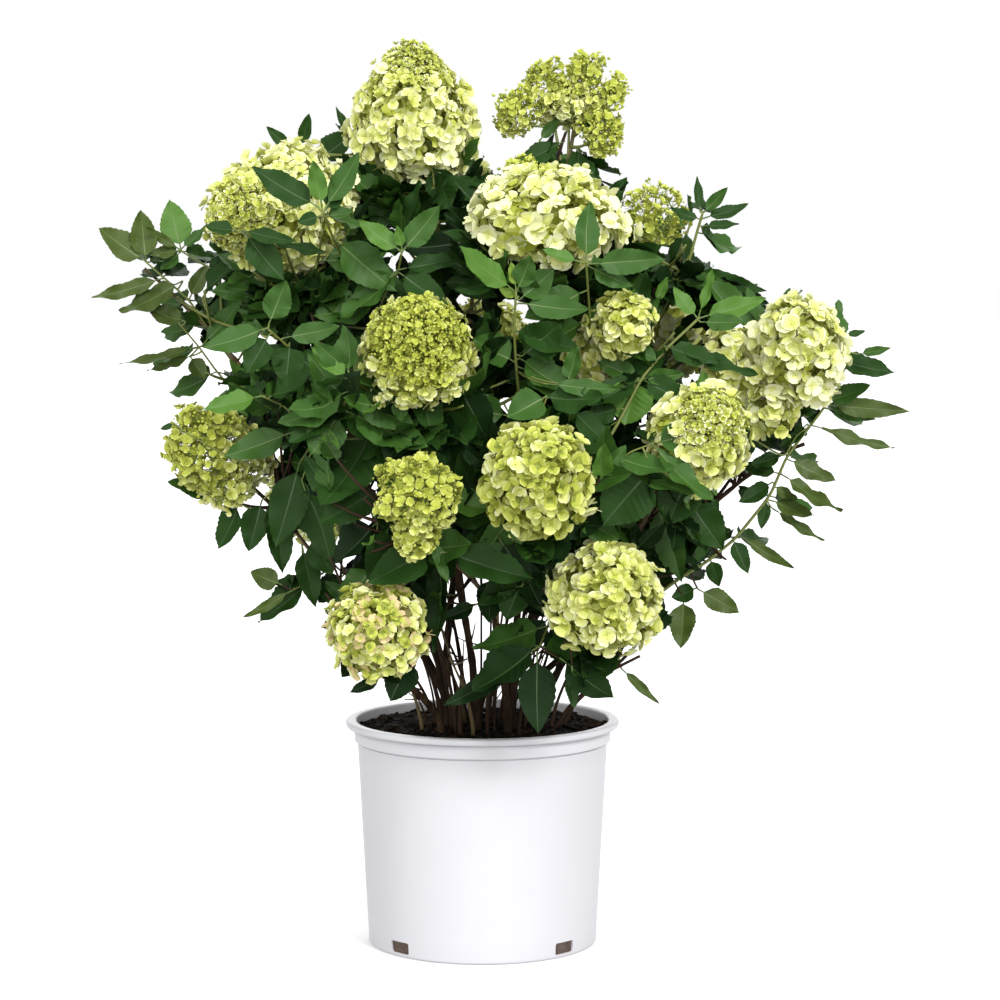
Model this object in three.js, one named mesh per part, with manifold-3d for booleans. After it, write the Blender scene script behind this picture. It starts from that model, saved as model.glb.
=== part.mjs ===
// A panicle hydrangea in a white nursery pot, in millimetres with +Z up and -Y towards the viewer.
// The origin is the middle of the pot's flat underside.
//
// Eleven woody stems rise from the soil and each forks into two boughs. Each bough ends where it
// enters a mass of foliage: twigs that branch from one main twig, with opposite leaves and one or
// more flower panicles. The masses share out the crown between them, each in a space of its own.

import * as THREE from 'three';
import { mergeVertices } from 'three/addons/utils/BufferGeometryUtils.js';
import Module from 'manifold-3d';

const wasm = await Module();
wasm.setup();

// The pot
const RIM_RADIUS = 140;
const COLLAR_RADIUS = 131.5;
const BODY_TOP_RADIUS = 128;
const BASE_RADIUS = 117;
const POT_HEIGHT = 230;
const LIP_HEIGHT = 7;
const COLLAR_HEIGHT = 16;
const COLLAR_STEP = 3;
const LIP_ROUNDING = 2.5;
const FOOT_ROUNDING = 2;
const WALL = 2.5;
const FLOOR = 3;
const POT_SIDES = 36;
const SLOT = { width: 25, depth: 12, bottom: 4, top: 16, count: 4 };

// The soil
const SOIL_TOP = 224;
const SOIL_EDGE = 222;
const SOIL_FLAT_RADIUS = 88;

// Every two touching solids keep this gap
const GAP = 0.3;

// Stems and boughs
const STEM_RADIUS = [4.8, 3.8];
const BOUGH_RADIUS = [2.4, 2];
const ROOT_FLARE = 0.5;
const FLARE_SHARE = 0.08;
const LIMB_SIDES = 6;
const STEM_STEPS = 4;
const BOUGH_STEPS = 3;
const STEM_BASE_RADII = [36, 62];
const FORK_SHARE = 0.5;
const FORK_SPREAD = 0.34;
const ENTRY_REACH = 1.05;
const ENTRY_SHARE = 0.55;
const ENTRY_DEPTH = 6;

// The crown, and the place in it that the foliage faces away from
const CROWN_HEART = new THREE.Vector3(10, -10, 400);
const CROWN = new THREE.Box3(new THREE.Vector3(-394, -360, 238), new THREE.Vector3(428, 400, 916));

// Twigs
const MAIN_RADIUS = [2.4, 1.9];
const TWIG_RADIUS = [2, 1.5];
const TWIG_SIDES = 3;
const MAIN_STEPS = 3;
const TWIG_STEPS = 2;
const TWIG_TRIES = 40;
const TWIG_REACHES = [0.66, 0.52, 0.38];
const TWIG_STARTS = [0.15, 0.6];
const TWIG_BOW = 0.16;
const MOST_TWIGS = 5;
const TWIG_TIPS_APART = 40;
const FILL_CONE = THREE.MathUtils.degToRad(150);
const GOLDEN_ANGLE = Math.PI * (3 - Math.sqrt(5));

// Leaves
const LEAF_LENGTH = 100;
const LEAF_WIDTH_SHARE = 0.56;
const LEAF_THICKNESS = 2;
const LEAF_WIDEST = 0.4;
const LEAF_FOLD = 0.05;
const LEAF_DROOP = 0.1;
const PAIRS_APART = 26;
const MOST_LEAVES = 22;
const TUFT_SHARE = 0.985;
const LEAF_SIZES = [1, 0.84, 0.7];
const LEAF_TURNS = [0, 0.55, -0.55, 1.1, -1.1];
const LEAF_FACES = [12, 22];
const LEAF_REACH = 1.15;
const SHOOT_LEAF_SHARE = 0.55;

// Panicles
const PANICLE_FACETS = [8, 6];
const SMALL_PANICLE_FACETS = [6, 5];
const SMALL_PANICLE = 80;
const PANICLE_TAPER = 0.3;
const PANICLE_TRIM = 0.92;
const PANICLE_LUMPS = 0.09;
const PANICLE_FOOT = 0.36;

// How clear foliage keeps of its space's edge and of the limbs, and how much detail is dropped
const SPACE_GAP = 0.5;
const LIMB_GAP = 1.2;
const FLOWER_GAP = 4;
const SIMPLER = 0.08;

// Colours
const PLASTIC_WHITE = 0xeeeef2;
const SOIL_BROWN = 0x1d1410;
const BARK_BROWN = 0x5b4436;
const BOUGH_TAN = 0x77683c;
const LEAF_GREEN = 0x2c5223;

// Each stem forks into two boughs, one for each of the two masses that it bears.
const STEMS = [
  ['left_spray', 'upper_left'],
  ['left', 'low_left'],
  ['top_left', 'centre'],
  ['low_centre', 'low_mid'],
  ['top_right', 'upper_centre'],
  ['upper_right', 'centre_right'],
  ['right', 'mid_right'],
  ['right_low', 'low_right'],
  ['back_top', 'back_mid'],
  ['back_upper_left', 'back_low_left'],
  ['back_upper_right', 'back_low_right'],
];

// Each mass: the middle of its leaves and how far they reach. A mass also holds whole panicles
// and the shoots that stand out further.
const MASSES = {
  top_left: { at: [-71, -50, 798], reach: 76 },
  top_right: { at: [91, 30, 833], reach: 73 },
  upper_left: { at: [-194, -120, 739], reach: 95 },
  upper_centre: { at: [66, -160, 718], reach: 94 },
  upper_right: { at: [201, 10, 719], reach: 75 },
  right: { at: [300, -65, 608], reach: 98 },
  mid_right: { at: [191, -200, 514], reach: 80 },
  centre: { at: [-68, -230, 603], reach: 92 },
  centre_right: { at: [107, -150, 614], reach: 77 },
  left: { at: [-242, -85, 508], reach: 94 },
  left_spray: { at: [-312, 25, 662], reach: 88 },
  low_centre: { at: [-83, -250, 482], reach: 80 },
  low_mid: { at: [60, -250, 475], reach: 77 },
  low_right: { at: [115, -210, 376], reach: 80 },
  low_left: { at: [-117, -220, 370], reach: 74 },
  right_low: { at: [282, 35, 492], reach: 108 },
  back_top: { at: [-4, 125, 768], reach: 96 },
  back_upper_left: { at: [-200, 120, 655], reach: 112 },
  back_upper_right: { at: [205, 140, 650], reach: 110 },
  back_mid: { at: [-2, 262, 599], reach: 112 },
  back_low_left: { at: [-172, 175, 464], reach: 112 },
  back_low_right: { at: [160, 205, 452], reach: 112 },
};

// Each panicle: its mass, middle, width, length, the way its tip points and its colour.
const CREAM = 0xe3e6a8;
const LIME = 0xb9c452;
const OLIVE = 0x98a23c;
const BLUSH = 0xd8cf92;
const PANICLES = [
  { mass: 'top_left', at: [-69, -60, 845], width: 132, length: 140, tip: [0, -0.1, 1], colour: CREAM },
  { mass: 'top_right', at: [104, 30, 893], width: 40, length: 34, tip: [0.15, 0, 1], colour: LIME },
  { mass: 'top_right', at: [66, 26, 878], width: 44, length: 36, tip: [-0.3, 0, 1], colour: LIME },
  { mass: 'top_right', at: [127, 20, 867], width: 32, length: 48, tip: [0.5, 0, 0.9], colour: LIME },
  { mass: 'top_right', at: [90, 28, 857], width: 72, length: 42, tip: [0.1, 0, 1], colour: CREAM },
  { mass: 'top_right', at: [35, 20, 848], width: 56, length: 38, tip: [-0.5, 0, 0.8], colour: LIME },
  { mass: 'top_right', at: [120, 10, 826], width: 52, length: 44, tip: [0.7, -0.2, 0.5], colour: LIME },
  {
    mass: 'upper_left', at: [-202, -118, 745], width: 132, length: 170,
    tip: [-0.64, -0.76, -0.1], colour: CREAM,
  },
  {
    mass: 'upper_centre', at: [65, -170, 745], width: 164, length: 82,
    tip: [0.05, -0.32, 0.94], colour: CREAM,
  },
  { mass: 'upper_centre', at: [42, -110, 783], width: 36, length: 26, tip: [-0.4, 0, 0.9], colour: LIME },
  { mass: 'upper_right', at: [176, 10, 744], width: 82, length: 62, tip: [0, -0.2, 1], colour: LIME },
  { mass: 'right', at: [309, -112, 613], width: 102, length: 106, tip: [0.15, -0.6, 0.8], colour: CREAM },
  { mass: 'right', at: [284, -105, 561], width: 48, length: 62, tip: [0, -0.2, 1], colour: CREAM },
  { mass: 'right', at: [247, -90, 598], width: 62, length: 88, tip: [-0.3, -0.5, 0.7], colour: CREAM },
  { mass: 'mid_right', at: [207, -240, 537], width: 100, length: 110, tip: [0.35, -0.8, 0.45], colour: LIME },
  { mass: 'centre', at: [-58, -270, 619], width: 112, length: 108, tip: [0.05, -0.85, 0.5], colour: LIME },
  { mass: 'centre_right', at: [134, -215, 641], width: 60, length: 54, tip: [0.1, -0.6, 0.8], colour: LIME },
  { mass: 'centre_right', at: [110, -165, 607], width: 58, length: 66, tip: [0, -0.6, 0.8], colour: CREAM },
  { mass: 'left', at: [-261, -110, 508], width: 104, length: 124, tip: [-0.6, -0.4, 0.6], colour: OLIVE },
  { mass: 'low_centre', at: [-58, -300, 485], width: 88, length: 72, tip: [0, -0.7, 0.6], colour: LIME },
  { mass: 'low_centre', at: [-60, -296, 444], width: 30, length: 42, tip: [0, -0.4, 0.9], colour: LIME },
  { mass: 'low_mid', at: [53, -310, 503], width: 106, length: 124, tip: [0.05, -0.85, 0.45], colour: CREAM },
  { mass: 'low_right', at: [119, -240, 385], width: 110, length: 112, tip: [0.2, -0.8, 0.4], colour: CREAM },
  { mass: 'low_left', at: [-100, -250, 355], width: 97, length: 92, tip: [-0.3, -0.8, 0.3], colour: BLUSH },
  { mass: 'back_top', at: [-50, 140, 790], width: 104, length: 116, tip: [0, 0.3, 0.9], colour: CREAM },
  {
    mass: 'back_upper_left', at: [-212, 135, 684], width: 112, length: 124,
    tip: [-0.4, 0.5, 0.7], colour: LIME,
  },
  {
    mass: 'back_upper_right', at: [192, 165, 640], width: 120, length: 126,
    tip: [0.4, 0.6, 0.6], colour: CREAM,
  },
  { mass: 'back_mid', at: [0, 285, 605], width: 118, length: 120, tip: [0, 0.9, 0.5], colour: LIME },
  {
    mass: 'back_low_left', at: [-185, 210, 448], width: 108, length: 110,
    tip: [-0.4, 0.8, 0.4], colour: CREAM,
  },
  {
    mass: 'back_low_right', at: [172, 235, 440], width: 112, length: 116,
    tip: [0.4, 0.8, 0.4], colour: BLUSH,
  },
];

// The leafy shoots that stand out of the crown. Each belongs to the mass whose space holds its tip.
const SHOOT_TIPS = [
  [-346, -20, 720],
  [-322, 10, 754],
  [-366, -10, 668],
  [-340, 0, 606],
  [-222, -40, 366],
  [225, 0, 779],
  [252, 0, 752],
  [282, -60, 674],
  [398, -20, 590],
  [420, 0, 552],
  [404, 0, 514],
  [350, -30, 478],
  [352, 0, 445],
  [322, 0, 404],
  [244, -60, 356],
  [-170, -20, 826],
  [-154, -215, 775],
  [32, -270, 668],
  [100, -262, 738],
  [-206, -220, 660],
  [-205, -232, 598],
  [64, -222, 272],
  [-20, -232, 300],
  [112, -216, 262],
  [178, -150, 300],
  [-112, -200, 290],
];

// A number from 0 to 1 that only its keys decide, so that every draw can be made again by itself.
function chance(...keys) {
  let hash = 2166136261;
  for (const key of keys) {
    hash = Math.imul(hash ^ key, 16777619) >>> 0;
    hash = (hash ^ (hash >>> 13)) >>> 0;
    hash = Math.imul(hash, 1540483477) >>> 0;
    hash = (hash ^ (hash >>> 15)) >>> 0;
  }
  return hash / 4294967296;
}

const UP = new THREE.Vector3(0, 0, 1);
const vector = (values) => new THREE.Vector3(...values);
const massNames = Object.keys(MASSES);
const sites = massNames.map((name) => vector(MASSES[name].at));
const reaches = massNames.map((name) => MASSES[name].reach);

// How deep a point lies in a mass's own space: its distance to the nearest shared boundary plane.
function depthInSpace(point, mass) {
  let depth = Infinity;
  const own = point.distanceToSquared(sites[mass]) - reaches[mass] ** 2;
  for (let other = 0; other < sites.length; other += 1) {
    if (other === mass) continue;
    const theirs = point.distanceToSquared(sites[other]) - reaches[other] ** 2;
    depth = Math.min(depth, (theirs - own) / (2 * sites[mass].distanceTo(sites[other])));
  }
  return depth;
}

// A geometry with its corners shared by the faces that meet there.
function mergedOf(geometry) {
  const bare = geometry.clone();
  bare.deleteAttribute('normal');
  bare.deleteAttribute('uv');
  return mergeVertices(bare, 1e-4);
}

// A closed geometry as a solid that can be joined or cut.
function solidOf(geometry) {
  const merged = mergedOf(geometry);
  return new wasm.Manifold(new wasm.Mesh({
    numProp: 3,
    vertProperties: new Float32Array(merged.attributes.position.array),
    triVerts: new Uint32Array(merged.index.array),
  }));
}

// True if no two corners of a solid are so close that a file with fewer digits would merge them.
function isDistinct(solid) {
  const { vertProperties, numVert } = solid.getMesh();
  const places = new Set();
  for (let i = 0; i < numVert; i += 1) {
    places.add([0, 1, 2].map((axis) => Math.round(vertProperties[3 * i + axis] * 2000)).join());
  }
  return places.size === numVert;
}

const largestBody = (solid) => solid.decompose().sort((a, b) => b.volume() - a.volume())[0];

// The largest body of a joined solid, with loose scraps and sealed hollows left out.
function geometryOf(solid) {
  const simpler = largestBody(solid.simplify(SIMPLER));
  const mesh = (isDistinct(simpler) ? simpler : largestBody(solid)).getMesh();
  const geometry = new THREE.BufferGeometry();
  const positions = new Float32Array(mesh.vertProperties);
  geometry.setAttribute('position', new THREE.BufferAttribute(positions, 3));
  geometry.setIndex(new THREE.BufferAttribute(new Uint32Array(mesh.triVerts), 1));
  geometry.computeVertexNormals();
  return geometry;
}

// A round limb along a curve, tapering from the first radius to the second.
function limb(curve, radii, sides, steps, flare = 0) {
  const geometry = new THREE.CylinderGeometry(1, 1, 1, sides, steps);
  const { tangents, normals, binormals } = curve.computeFrenetFrames(steps, false);
  const position = geometry.attributes.position;
  for (let i = 0; i < position.count; i += 1) {
    const share = position.getY(i) + 0.5;
    const step = Math.round(share * steps);
    const flared = 1 + flare * Math.exp(-share / FLARE_SHARE);
    const radius = THREE.MathUtils.lerp(radii[0], radii[1], share) * flared;
    const place = curve.getPoint(share)
      .addScaledVector(binormals[step], position.getX(i) * radius)
      .addScaledVector(normals[step], position.getZ(i) * radius);
    position.setXYZ(i, place.x, place.y, place.z);
  }
  return { geometry, end: tangents[steps] };
}

// The place at a share of a limb's own straight steps, so that what is joined on meets its middle.
function onLimb(curve, steps, share) {
  const step = Math.min(Math.floor(share * steps), steps - 1);
  return curve.getPoint(step / steps).lerp(curve.getPoint((step + 1) / steps), share * steps - step);
}

// Points along a limb with its radius at each, for keeping twigs and leaves clear of it.
function limbPoints(curve, radii, spacing = 5) {
  const count = Math.ceil(curve.getLength() / spacing);
  return Array.from({ length: count + 1 }, (_, i) => ({
    at: curve.getPoint(i / count),
    radius: THREE.MathUtils.lerp(radii[0], radii[1], i / count),
  }));
}

const hydrangea = new THREE.Group();

function addMesh(name, geometry, colour, roughness) {
  const material = new THREE.MeshStandardMaterial({ color: colour, roughness, metalness: 0 });
  const mesh = new THREE.Mesh(geometry, material);
  mesh.name = name;
  hydrangea.add(mesh);
}

// The pot: a tapered shell with a collar, a rolled lip and drain slots low in its wall.
const LIP_BOTTOM = POT_HEIGHT - LIP_HEIGHT;
const COLLAR_BOTTOM = LIP_BOTTOM - COLLAR_HEIGHT;
const outerRadius = (height) => THREE.MathUtils.lerp(BASE_RADIUS, BODY_TOP_RADIUS, height / COLLAR_BOTTOM);
const innerRadius = (height) => outerRadius(height) - WALL;
const turned = (profile) => new THREE.LatheGeometry(profile, POT_SIDES).rotateX(Math.PI / 2);

function pot() {
  const outside = [
    [0, 0],
    [BASE_RADIUS - FOOT_ROUNDING, 0],
    [BASE_RADIUS, FOOT_ROUNDING],
    [BODY_TOP_RADIUS, COLLAR_BOTTOM],
    [COLLAR_RADIUS, COLLAR_BOTTOM + COLLAR_STEP],
    [COLLAR_RADIUS, LIP_BOTTOM],
    [RIM_RADIUS - LIP_ROUNDING, LIP_BOTTOM],
    [RIM_RADIUS, LIP_BOTTOM + LIP_ROUNDING],
    [RIM_RADIUS, POT_HEIGHT - LIP_ROUNDING],
    [RIM_RADIUS - LIP_ROUNDING, POT_HEIGHT],
  ];
  const inside = [
    [COLLAR_RADIUS - WALL + LIP_ROUNDING, POT_HEIGHT],
    [COLLAR_RADIUS - WALL, POT_HEIGHT - LIP_ROUNDING],
    [COLLAR_RADIUS - WALL, COLLAR_BOTTOM + COLLAR_STEP + 1],
    [innerRadius(COLLAR_BOTTOM), COLLAR_BOTTOM],
    [innerRadius(FLOOR), FLOOR],
    [0, FLOOR],
  ];
  const profile = [...outside, ...inside].map(([radius, height]) => new THREE.Vector2(radius, height));
  let shell = solidOf(turned(profile));
  for (let i = 0; i < SLOT.count; i += 1) {
    const slot = new THREE.BoxGeometry(SLOT.width, SLOT.depth, SLOT.top - SLOT.bottom);
    slot.translate(0, -BASE_RADIUS, (SLOT.top + SLOT.bottom) / 2);
    slot.rotateZ((i + 0.5) * ((2 * Math.PI) / SLOT.count));
    shell = shell.subtract(solidOf(slot));
  }
  return geometryOf(shell);
}

// The soil: it fills the pot from the floor up, level under the stems and falling to the wall.
function soil() {
  const bottom = FLOOR + GAP;
  const profile = [
    [0, bottom],
    [innerRadius(bottom) - GAP, bottom],
    [innerRadius(COLLAR_BOTTOM) - GAP, COLLAR_BOTTOM],
    [COLLAR_RADIUS - WALL - GAP, COLLAR_BOTTOM + COLLAR_STEP + 1 + GAP],
    [COLLAR_RADIUS - WALL - GAP, SOIL_EDGE],
    [SOIL_FLAT_RADIUS, SOIL_TOP],
    [0, SOIL_TOP],
  ].map(([radius, height]) => new THREE.Vector2(radius, height));
  return geometryOf(solidOf(turned(profile)));
}

addMesh('pot', pot(), PLASTIC_WHITE, 0.35);
addMesh('soil', soil(), SOIL_BROWN, 0.95);

// Stems and boughs. The points that they fill are kept for the foliage to stay clear of.
const limbSpace = [];
const boughEnds = {};

function stemFoot(order, bearing) {
  const radius = STEM_BASE_RADII[order % STEM_BASE_RADII.length];
  return new THREE.Vector3(radius * Math.cos(bearing), radius * Math.sin(bearing), SOIL_TOP + GAP);
}

// Where a bough meets its mass: on the line to the mass's middle, a reach away, inside its space.
function entryOf(mass, fork) {
  const inward = fork.clone().sub(sites[mass]);
  const distance = inward.length();
  inward.normalize();
  const placeAt = (away) => sites[mass].clone().addScaledVector(inward, away);
  let away = Math.min(reaches[mass] * ENTRY_REACH, distance * ENTRY_SHARE);
  while (away > 0 && depthInSpace(placeAt(away), mass) < ENTRY_DEPTH) away -= GAP;
  return placeAt(away);
}

function growStems() {
  const bearings = STEMS.map((names) => {
    const middle = names.reduce((sum, name) => sum.add(vector(MASSES[name].at)), new THREE.Vector3());
    return Math.atan2(middle.y, middle.x);
  });
  const order = bearings.map((_, i) => i).sort((a, b) => bearings[a] - bearings[b]);
  STEMS.forEach((names, i) => {
    const turn = order.indexOf(i);
    const bearing = -Math.PI + ((turn + 0.5) * 2 * Math.PI) / STEMS.length;
    const foot = stemFoot(turn, bearing);
    const masses = names.map((name) => massNames.indexOf(name));
    const middle = masses.reduce((sum, mass) => sum.add(sites[mass]), new THREE.Vector3()).divideScalar(2);
    const lowest = Math.min(...masses.map((mass) => sites[mass].z));
    const fork = new THREE.Vector3(
      THREE.MathUtils.lerp(foot.x, middle.x, FORK_SPREAD),
      THREE.MathUtils.lerp(foot.y, middle.y, FORK_SPREAD),
      THREE.MathUtils.lerp(SOIL_TOP, lowest, FORK_SHARE),
    );
    const lean = middle.clone().sub(fork).normalize().add(UP).normalize();
    const rise = fork.z - foot.z;
    const stemCurve = new THREE.CubicBezierCurve3(
      foot,
      foot.clone().addScaledVector(UP, rise * 0.4),
      fork.clone().addScaledVector(lean, -rise * 0.35),
      fork,
    );
    const stem = limb(stemCurve, STEM_RADIUS, LIMB_SIDES, STEM_STEPS, ROOT_FLARE);
    addMesh(`stem_${i + 1}`, stem.geometry, BARK_BROWN, 0.9);
    limbSpace.push(...limbPoints(stemCurve, STEM_RADIUS));

    const apart = sites[masses[0]].clone().sub(sites[masses[1]]);
    apart.addScaledVector(stem.end, -apart.dot(stem.end)).normalize();
    masses.forEach((mass, side) => {
      const offset = (side === 0 ? 1 : -1) * (BOUGH_RADIUS[0] + GAP);
      const start = fork.clone().addScaledVector(stem.end, GAP).addScaledVector(apart, offset);
      const entry = entryOf(mass, fork);
      const reach = start.distanceTo(entry);
      const aim = sites[mass].clone().sub(entry).normalize();
      const curve = new THREE.CubicBezierCurve3(
        start,
        start.clone().addScaledVector(stem.end, reach * 0.3),
        entry.clone().addScaledVector(aim, -reach * 0.35),
        entry,
      );
      const bough = limb(curve, BOUGH_RADIUS, LIMB_SIDES, BOUGH_STEPS);
      addMesh(`bough_${names[side]}`, bough.geometry, BOUGH_TAN, 0.8);
      limbSpace.push(...limbPoints(curve, BOUGH_RADIUS));
      boughEnds[names[side]] = { at: entry, aim: bough.end };
    });
  });
}

growStems();

// A panicle: a blunt cone of flowers with a lumpy surface, round about its own axis.
function panicleGeometry(panicle, key) {
  const facets = panicle.width < SMALL_PANICLE ? SMALL_PANICLE_FACETS : PANICLE_FACETS;
  const round = mergedOf(new THREE.SphereGeometry(1, ...facets));
  const position = round.attributes.position;
  const axis = vector(panicle.tip).normalize();
  const turn = new THREE.Quaternion().setFromUnitVectors(new THREE.Vector3(0, 1, 0), axis);
  for (let i = 0; i < position.count; i += 1) {
    const along = position.getY(i);
    const lump = 1 - PANICLE_LUMPS * chance(key, i, 3);
    const broad = (1 - PANICLE_TAPER * along) * lump * (panicle.width / 2) * PANICLE_TRIM;
    const place = new THREE.Vector3(
      position.getX(i) * broad,
      along * lump * (panicle.length / 2),
      position.getZ(i) * broad,
    );
    place.applyQuaternion(turn).add(vector(panicle.at));
    position.setXYZ(i, place.x, place.y, place.z);
  }
  return round;
}

// True if a point lies in a panicle, or within the margin of its surface.
function inPanicle(point, panicle, margin) {
  const axis = vector(panicle.tip).normalize();
  const offset = point.clone().sub(vector(panicle.at));
  const along = offset.dot(axis);
  const across = Math.sqrt(Math.max(0, offset.lengthSq() - along * along));
  return (along / (panicle.length / 2 + margin)) ** 2 + (across / (panicle.width / 2 + margin)) ** 2 < 1;
}

// A leaf has a root, a direction, a face that looks up, and a length.
function leafFrame(root, along, light, length) {
  const direction = along.clone().normalize();
  const face = light.clone().addScaledVector(direction, -light.dot(direction)).normalize();
  const across = new THREE.Vector3().crossVectors(face, direction);
  return { root, direction, face, across, length };
}

function leafPoint(leaf, along, across, height) {
  return leaf.root.clone()
    .addScaledVector(leaf.direction, along * leaf.length)
    .addScaledVector(leaf.across, across * leaf.length)
    .addScaledVector(leaf.face, height);
}

// Eight faces: root, tip, two sides folded up, and a point above and below the midrib.
function leafGeometry(leaf) {
  const half = (LEAF_WIDTH_SHARE * leaf.share) / 2;
  const fold = leaf.length * LEAF_FOLD;
  const droop = leaf.length * -LEAF_DROOP;
  const points = [
    leafPoint(leaf, 0, 0, 0),
    leafPoint(leaf, LEAF_WIDEST, -half, fold),
    leafPoint(leaf, LEAF_WIDEST, half, fold),
    leafPoint(leaf, 1, 0, droop),
    leafPoint(leaf, LEAF_WIDEST, 0, LEAF_THICKNESS / 2),
    leafPoint(leaf, LEAF_WIDEST, 0, -LEAF_THICKNESS / 2),
  ];
  const faces = [0, 1, 4, 1, 3, 4, 3, 2, 4, 2, 0, 4, 1, 0, 5, 3, 1, 5, 2, 3, 5, 0, 2, 5];
  const geometry = new THREE.BufferGeometry();
  const flat = points.flatMap((point) => point.toArray());
  geometry.setAttribute('position', new THREE.BufferAttribute(new Float32Array(flat), 3));
  geometry.setIndex(faces);
  return { geometry, points };
}

// True if a leaf's blade comes within the gap of any stem or bough.
function leafMeetsLimb(leaf) {
  const half = (LEAF_WIDTH_SHARE * leaf.length * leaf.share) / 2;
  const thick = leaf.length * LEAF_DROOP;
  return limbSpace.some(({ at, radius }) => {
    const offset = at.clone().sub(leaf.root);
    const along = offset.dot(leaf.direction);
    const margin = radius + LIMB_GAP;
    if (along < -margin || along > leaf.length + margin) return false;
    if (Math.abs(offset.dot(leaf.across)) > half + margin) return false;
    return Math.abs(offset.dot(leaf.face)) < thick + margin;
  });
}

// A twig's curve bows down a little, so that its tip turns up. One that would bow out of its
// mass's space runs straight instead.
function twigCurve(start, tip, mass) {
  const length = start.distanceTo(tip);
  const middle = start.clone().lerp(tip, 0.55);
  const bowed = middle.clone().addScaledVector(UP, -TWIG_BOW * length);
  const curve = new THREE.QuadraticBezierCurve3(start, bowed, tip);
  if (twigFits(curve, mass)) return curve;
  return new THREE.QuadraticBezierCurve3(start, middle, tip);
}

function twigFits(curve, mass) {
  const margin = TWIG_RADIUS[0] + SPACE_GAP;
  return curve.getPoints(8).every((point) => depthInSpace(point, mass) > margin);
}

function twigMeetsLimb(curve) {
  const margin = TWIG_RADIUS[0] + LIMB_GAP;
  return curve.getPoints(16).some((point) => (
    limbSpace.some(({ at, radius }) => at.distanceTo(point) < radius + margin)
  ));
}

// The places of a twig's leaves: opposite pairs, each a quarter turn from the last, then a tuft.
function twigLeaves({ curve, steps, tip }, mass, twig, outward) {
  const leaves = [];
  const pairs = Math.max(1, Math.floor(curve.getLength() / PAIRS_APART));
  const light = UP.clone().multiplyScalar(0.6).addScaledVector(outward, 0.8);
  for (let pair = pairs; pair >= 0; pair -= 1) {
    const last = pair === pairs;
    const share = last ? TUFT_SHARE : (pair + 0.6) / (pairs + 0.6);
    const forward = curve.getTangent(share);
    const side = new THREE.Vector3().crossVectors(forward, UP);
    if (side.lengthSq() < 0.01) side.set(1, 0, 0);
    side.normalize();
    const turn = (pair % 2) * (Math.PI / 2) + (chance(mass, twig, pair, 1) - 0.5) * 0.7;
    side.applyAxisAngle(forward, turn + Math.PI / 4);
    for (const sign of [1, -1]) {
      const droop = last ? 0.1 : 0.22 + 0.25 * chance(mass, twig, pair, 5 + sign);
      const along = forward.clone().multiplyScalar(last ? 0.9 : 0.5)
        .addScaledVector(side, sign * (last ? 0.55 : 0.85))
        .addScaledVector(UP, -droop);
      const size = (last ? 0.75 : 0.86 + 0.26 * chance(mass, twig, pair, 9 + sign)) * LEAF_LENGTH;
      const root = onLimb(curve, steps, share + sign * 0.006);
      leaves.push({ root, forward, along, light, size, share: last ? 0.8 : 1, tip });
    }
  }
  return leaves;
}

// A leaf joins its twig at full size, or turned about the twig or made smaller where it would
// leave its space or cross another leaf. A leaf that still doesn't fit is skipped. One that joins
// cleanly adds few faces, and one that crosses another adds many.
function joinLeaf(place, mass, panicles, solid) {
  for (const scale of LEAF_SIZES) {
    for (const turn of LEAF_TURNS) {
      const along = place.along.clone().applyAxisAngle(place.forward, turn);
      const leaf = leafFrame(place.root, along, place.light, place.size * scale);
      leaf.share = place.share;
      const made = leafGeometry(leaf);
      const inside = made.points.every((point) => (
        depthInSpace(point, mass) > SPACE_GAP && withinReach(point, mass, place.tip)
      ));
      const hidden = panicles.some((panicle) => inPanicle(leafPoint(leaf, 0.6, 0, 0), panicle, 0));
      if (!inside || hidden || leafMeetsLimb(leaf)) continue;
      const joined = solid.add(solidOf(made.geometry));
      const added = joined.numTri() - solid.numTri();
      if (added >= LEAF_FACES[0] && added <= LEAF_FACES[1] && isDistinct(joined)) return joined;
    }
  }
  return null;
}

// A leaf stays within its mass's reach, or close to the shoot tip that its twig runs to.
function withinReach(point, mass, tip) {
  if (point.distanceTo(sites[mass]) < reaches[mass] * LEAF_REACH) return true;
  return Boolean(tip) && point.distanceTo(tip) < LEAF_LENGTH * 0.8 && CROWN.containsPoint(point);
}

// The tips of the twigs that fill a mass: spread evenly over the side of it that faces outwards.
function fillTips(mass, outward) {
  const level = Math.abs(outward.z) < 0.9 ? UP : new THREE.Vector3(1, 0, 0);
  const across = new THREE.Vector3().crossVectors(outward, level).normalize();
  const up = new THREE.Vector3().crossVectors(across, outward);
  return Array.from({ length: TWIG_TRIES }, (_, i) => {
    const lean = Math.acos(1 - (1 - Math.cos(FILL_CONE)) * ((i + 0.5) / TWIG_TRIES));
    const turn = i * GOLDEN_ANGLE + chance(mass, 7) * 2 * Math.PI;
    return new THREE.Vector3()
      .addScaledVector(outward, Math.cos(lean))
      .addScaledVector(across, Math.sin(lean) * Math.cos(turn))
      .addScaledVector(up, Math.sin(lean) * Math.sin(turn));
  });
}

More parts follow.
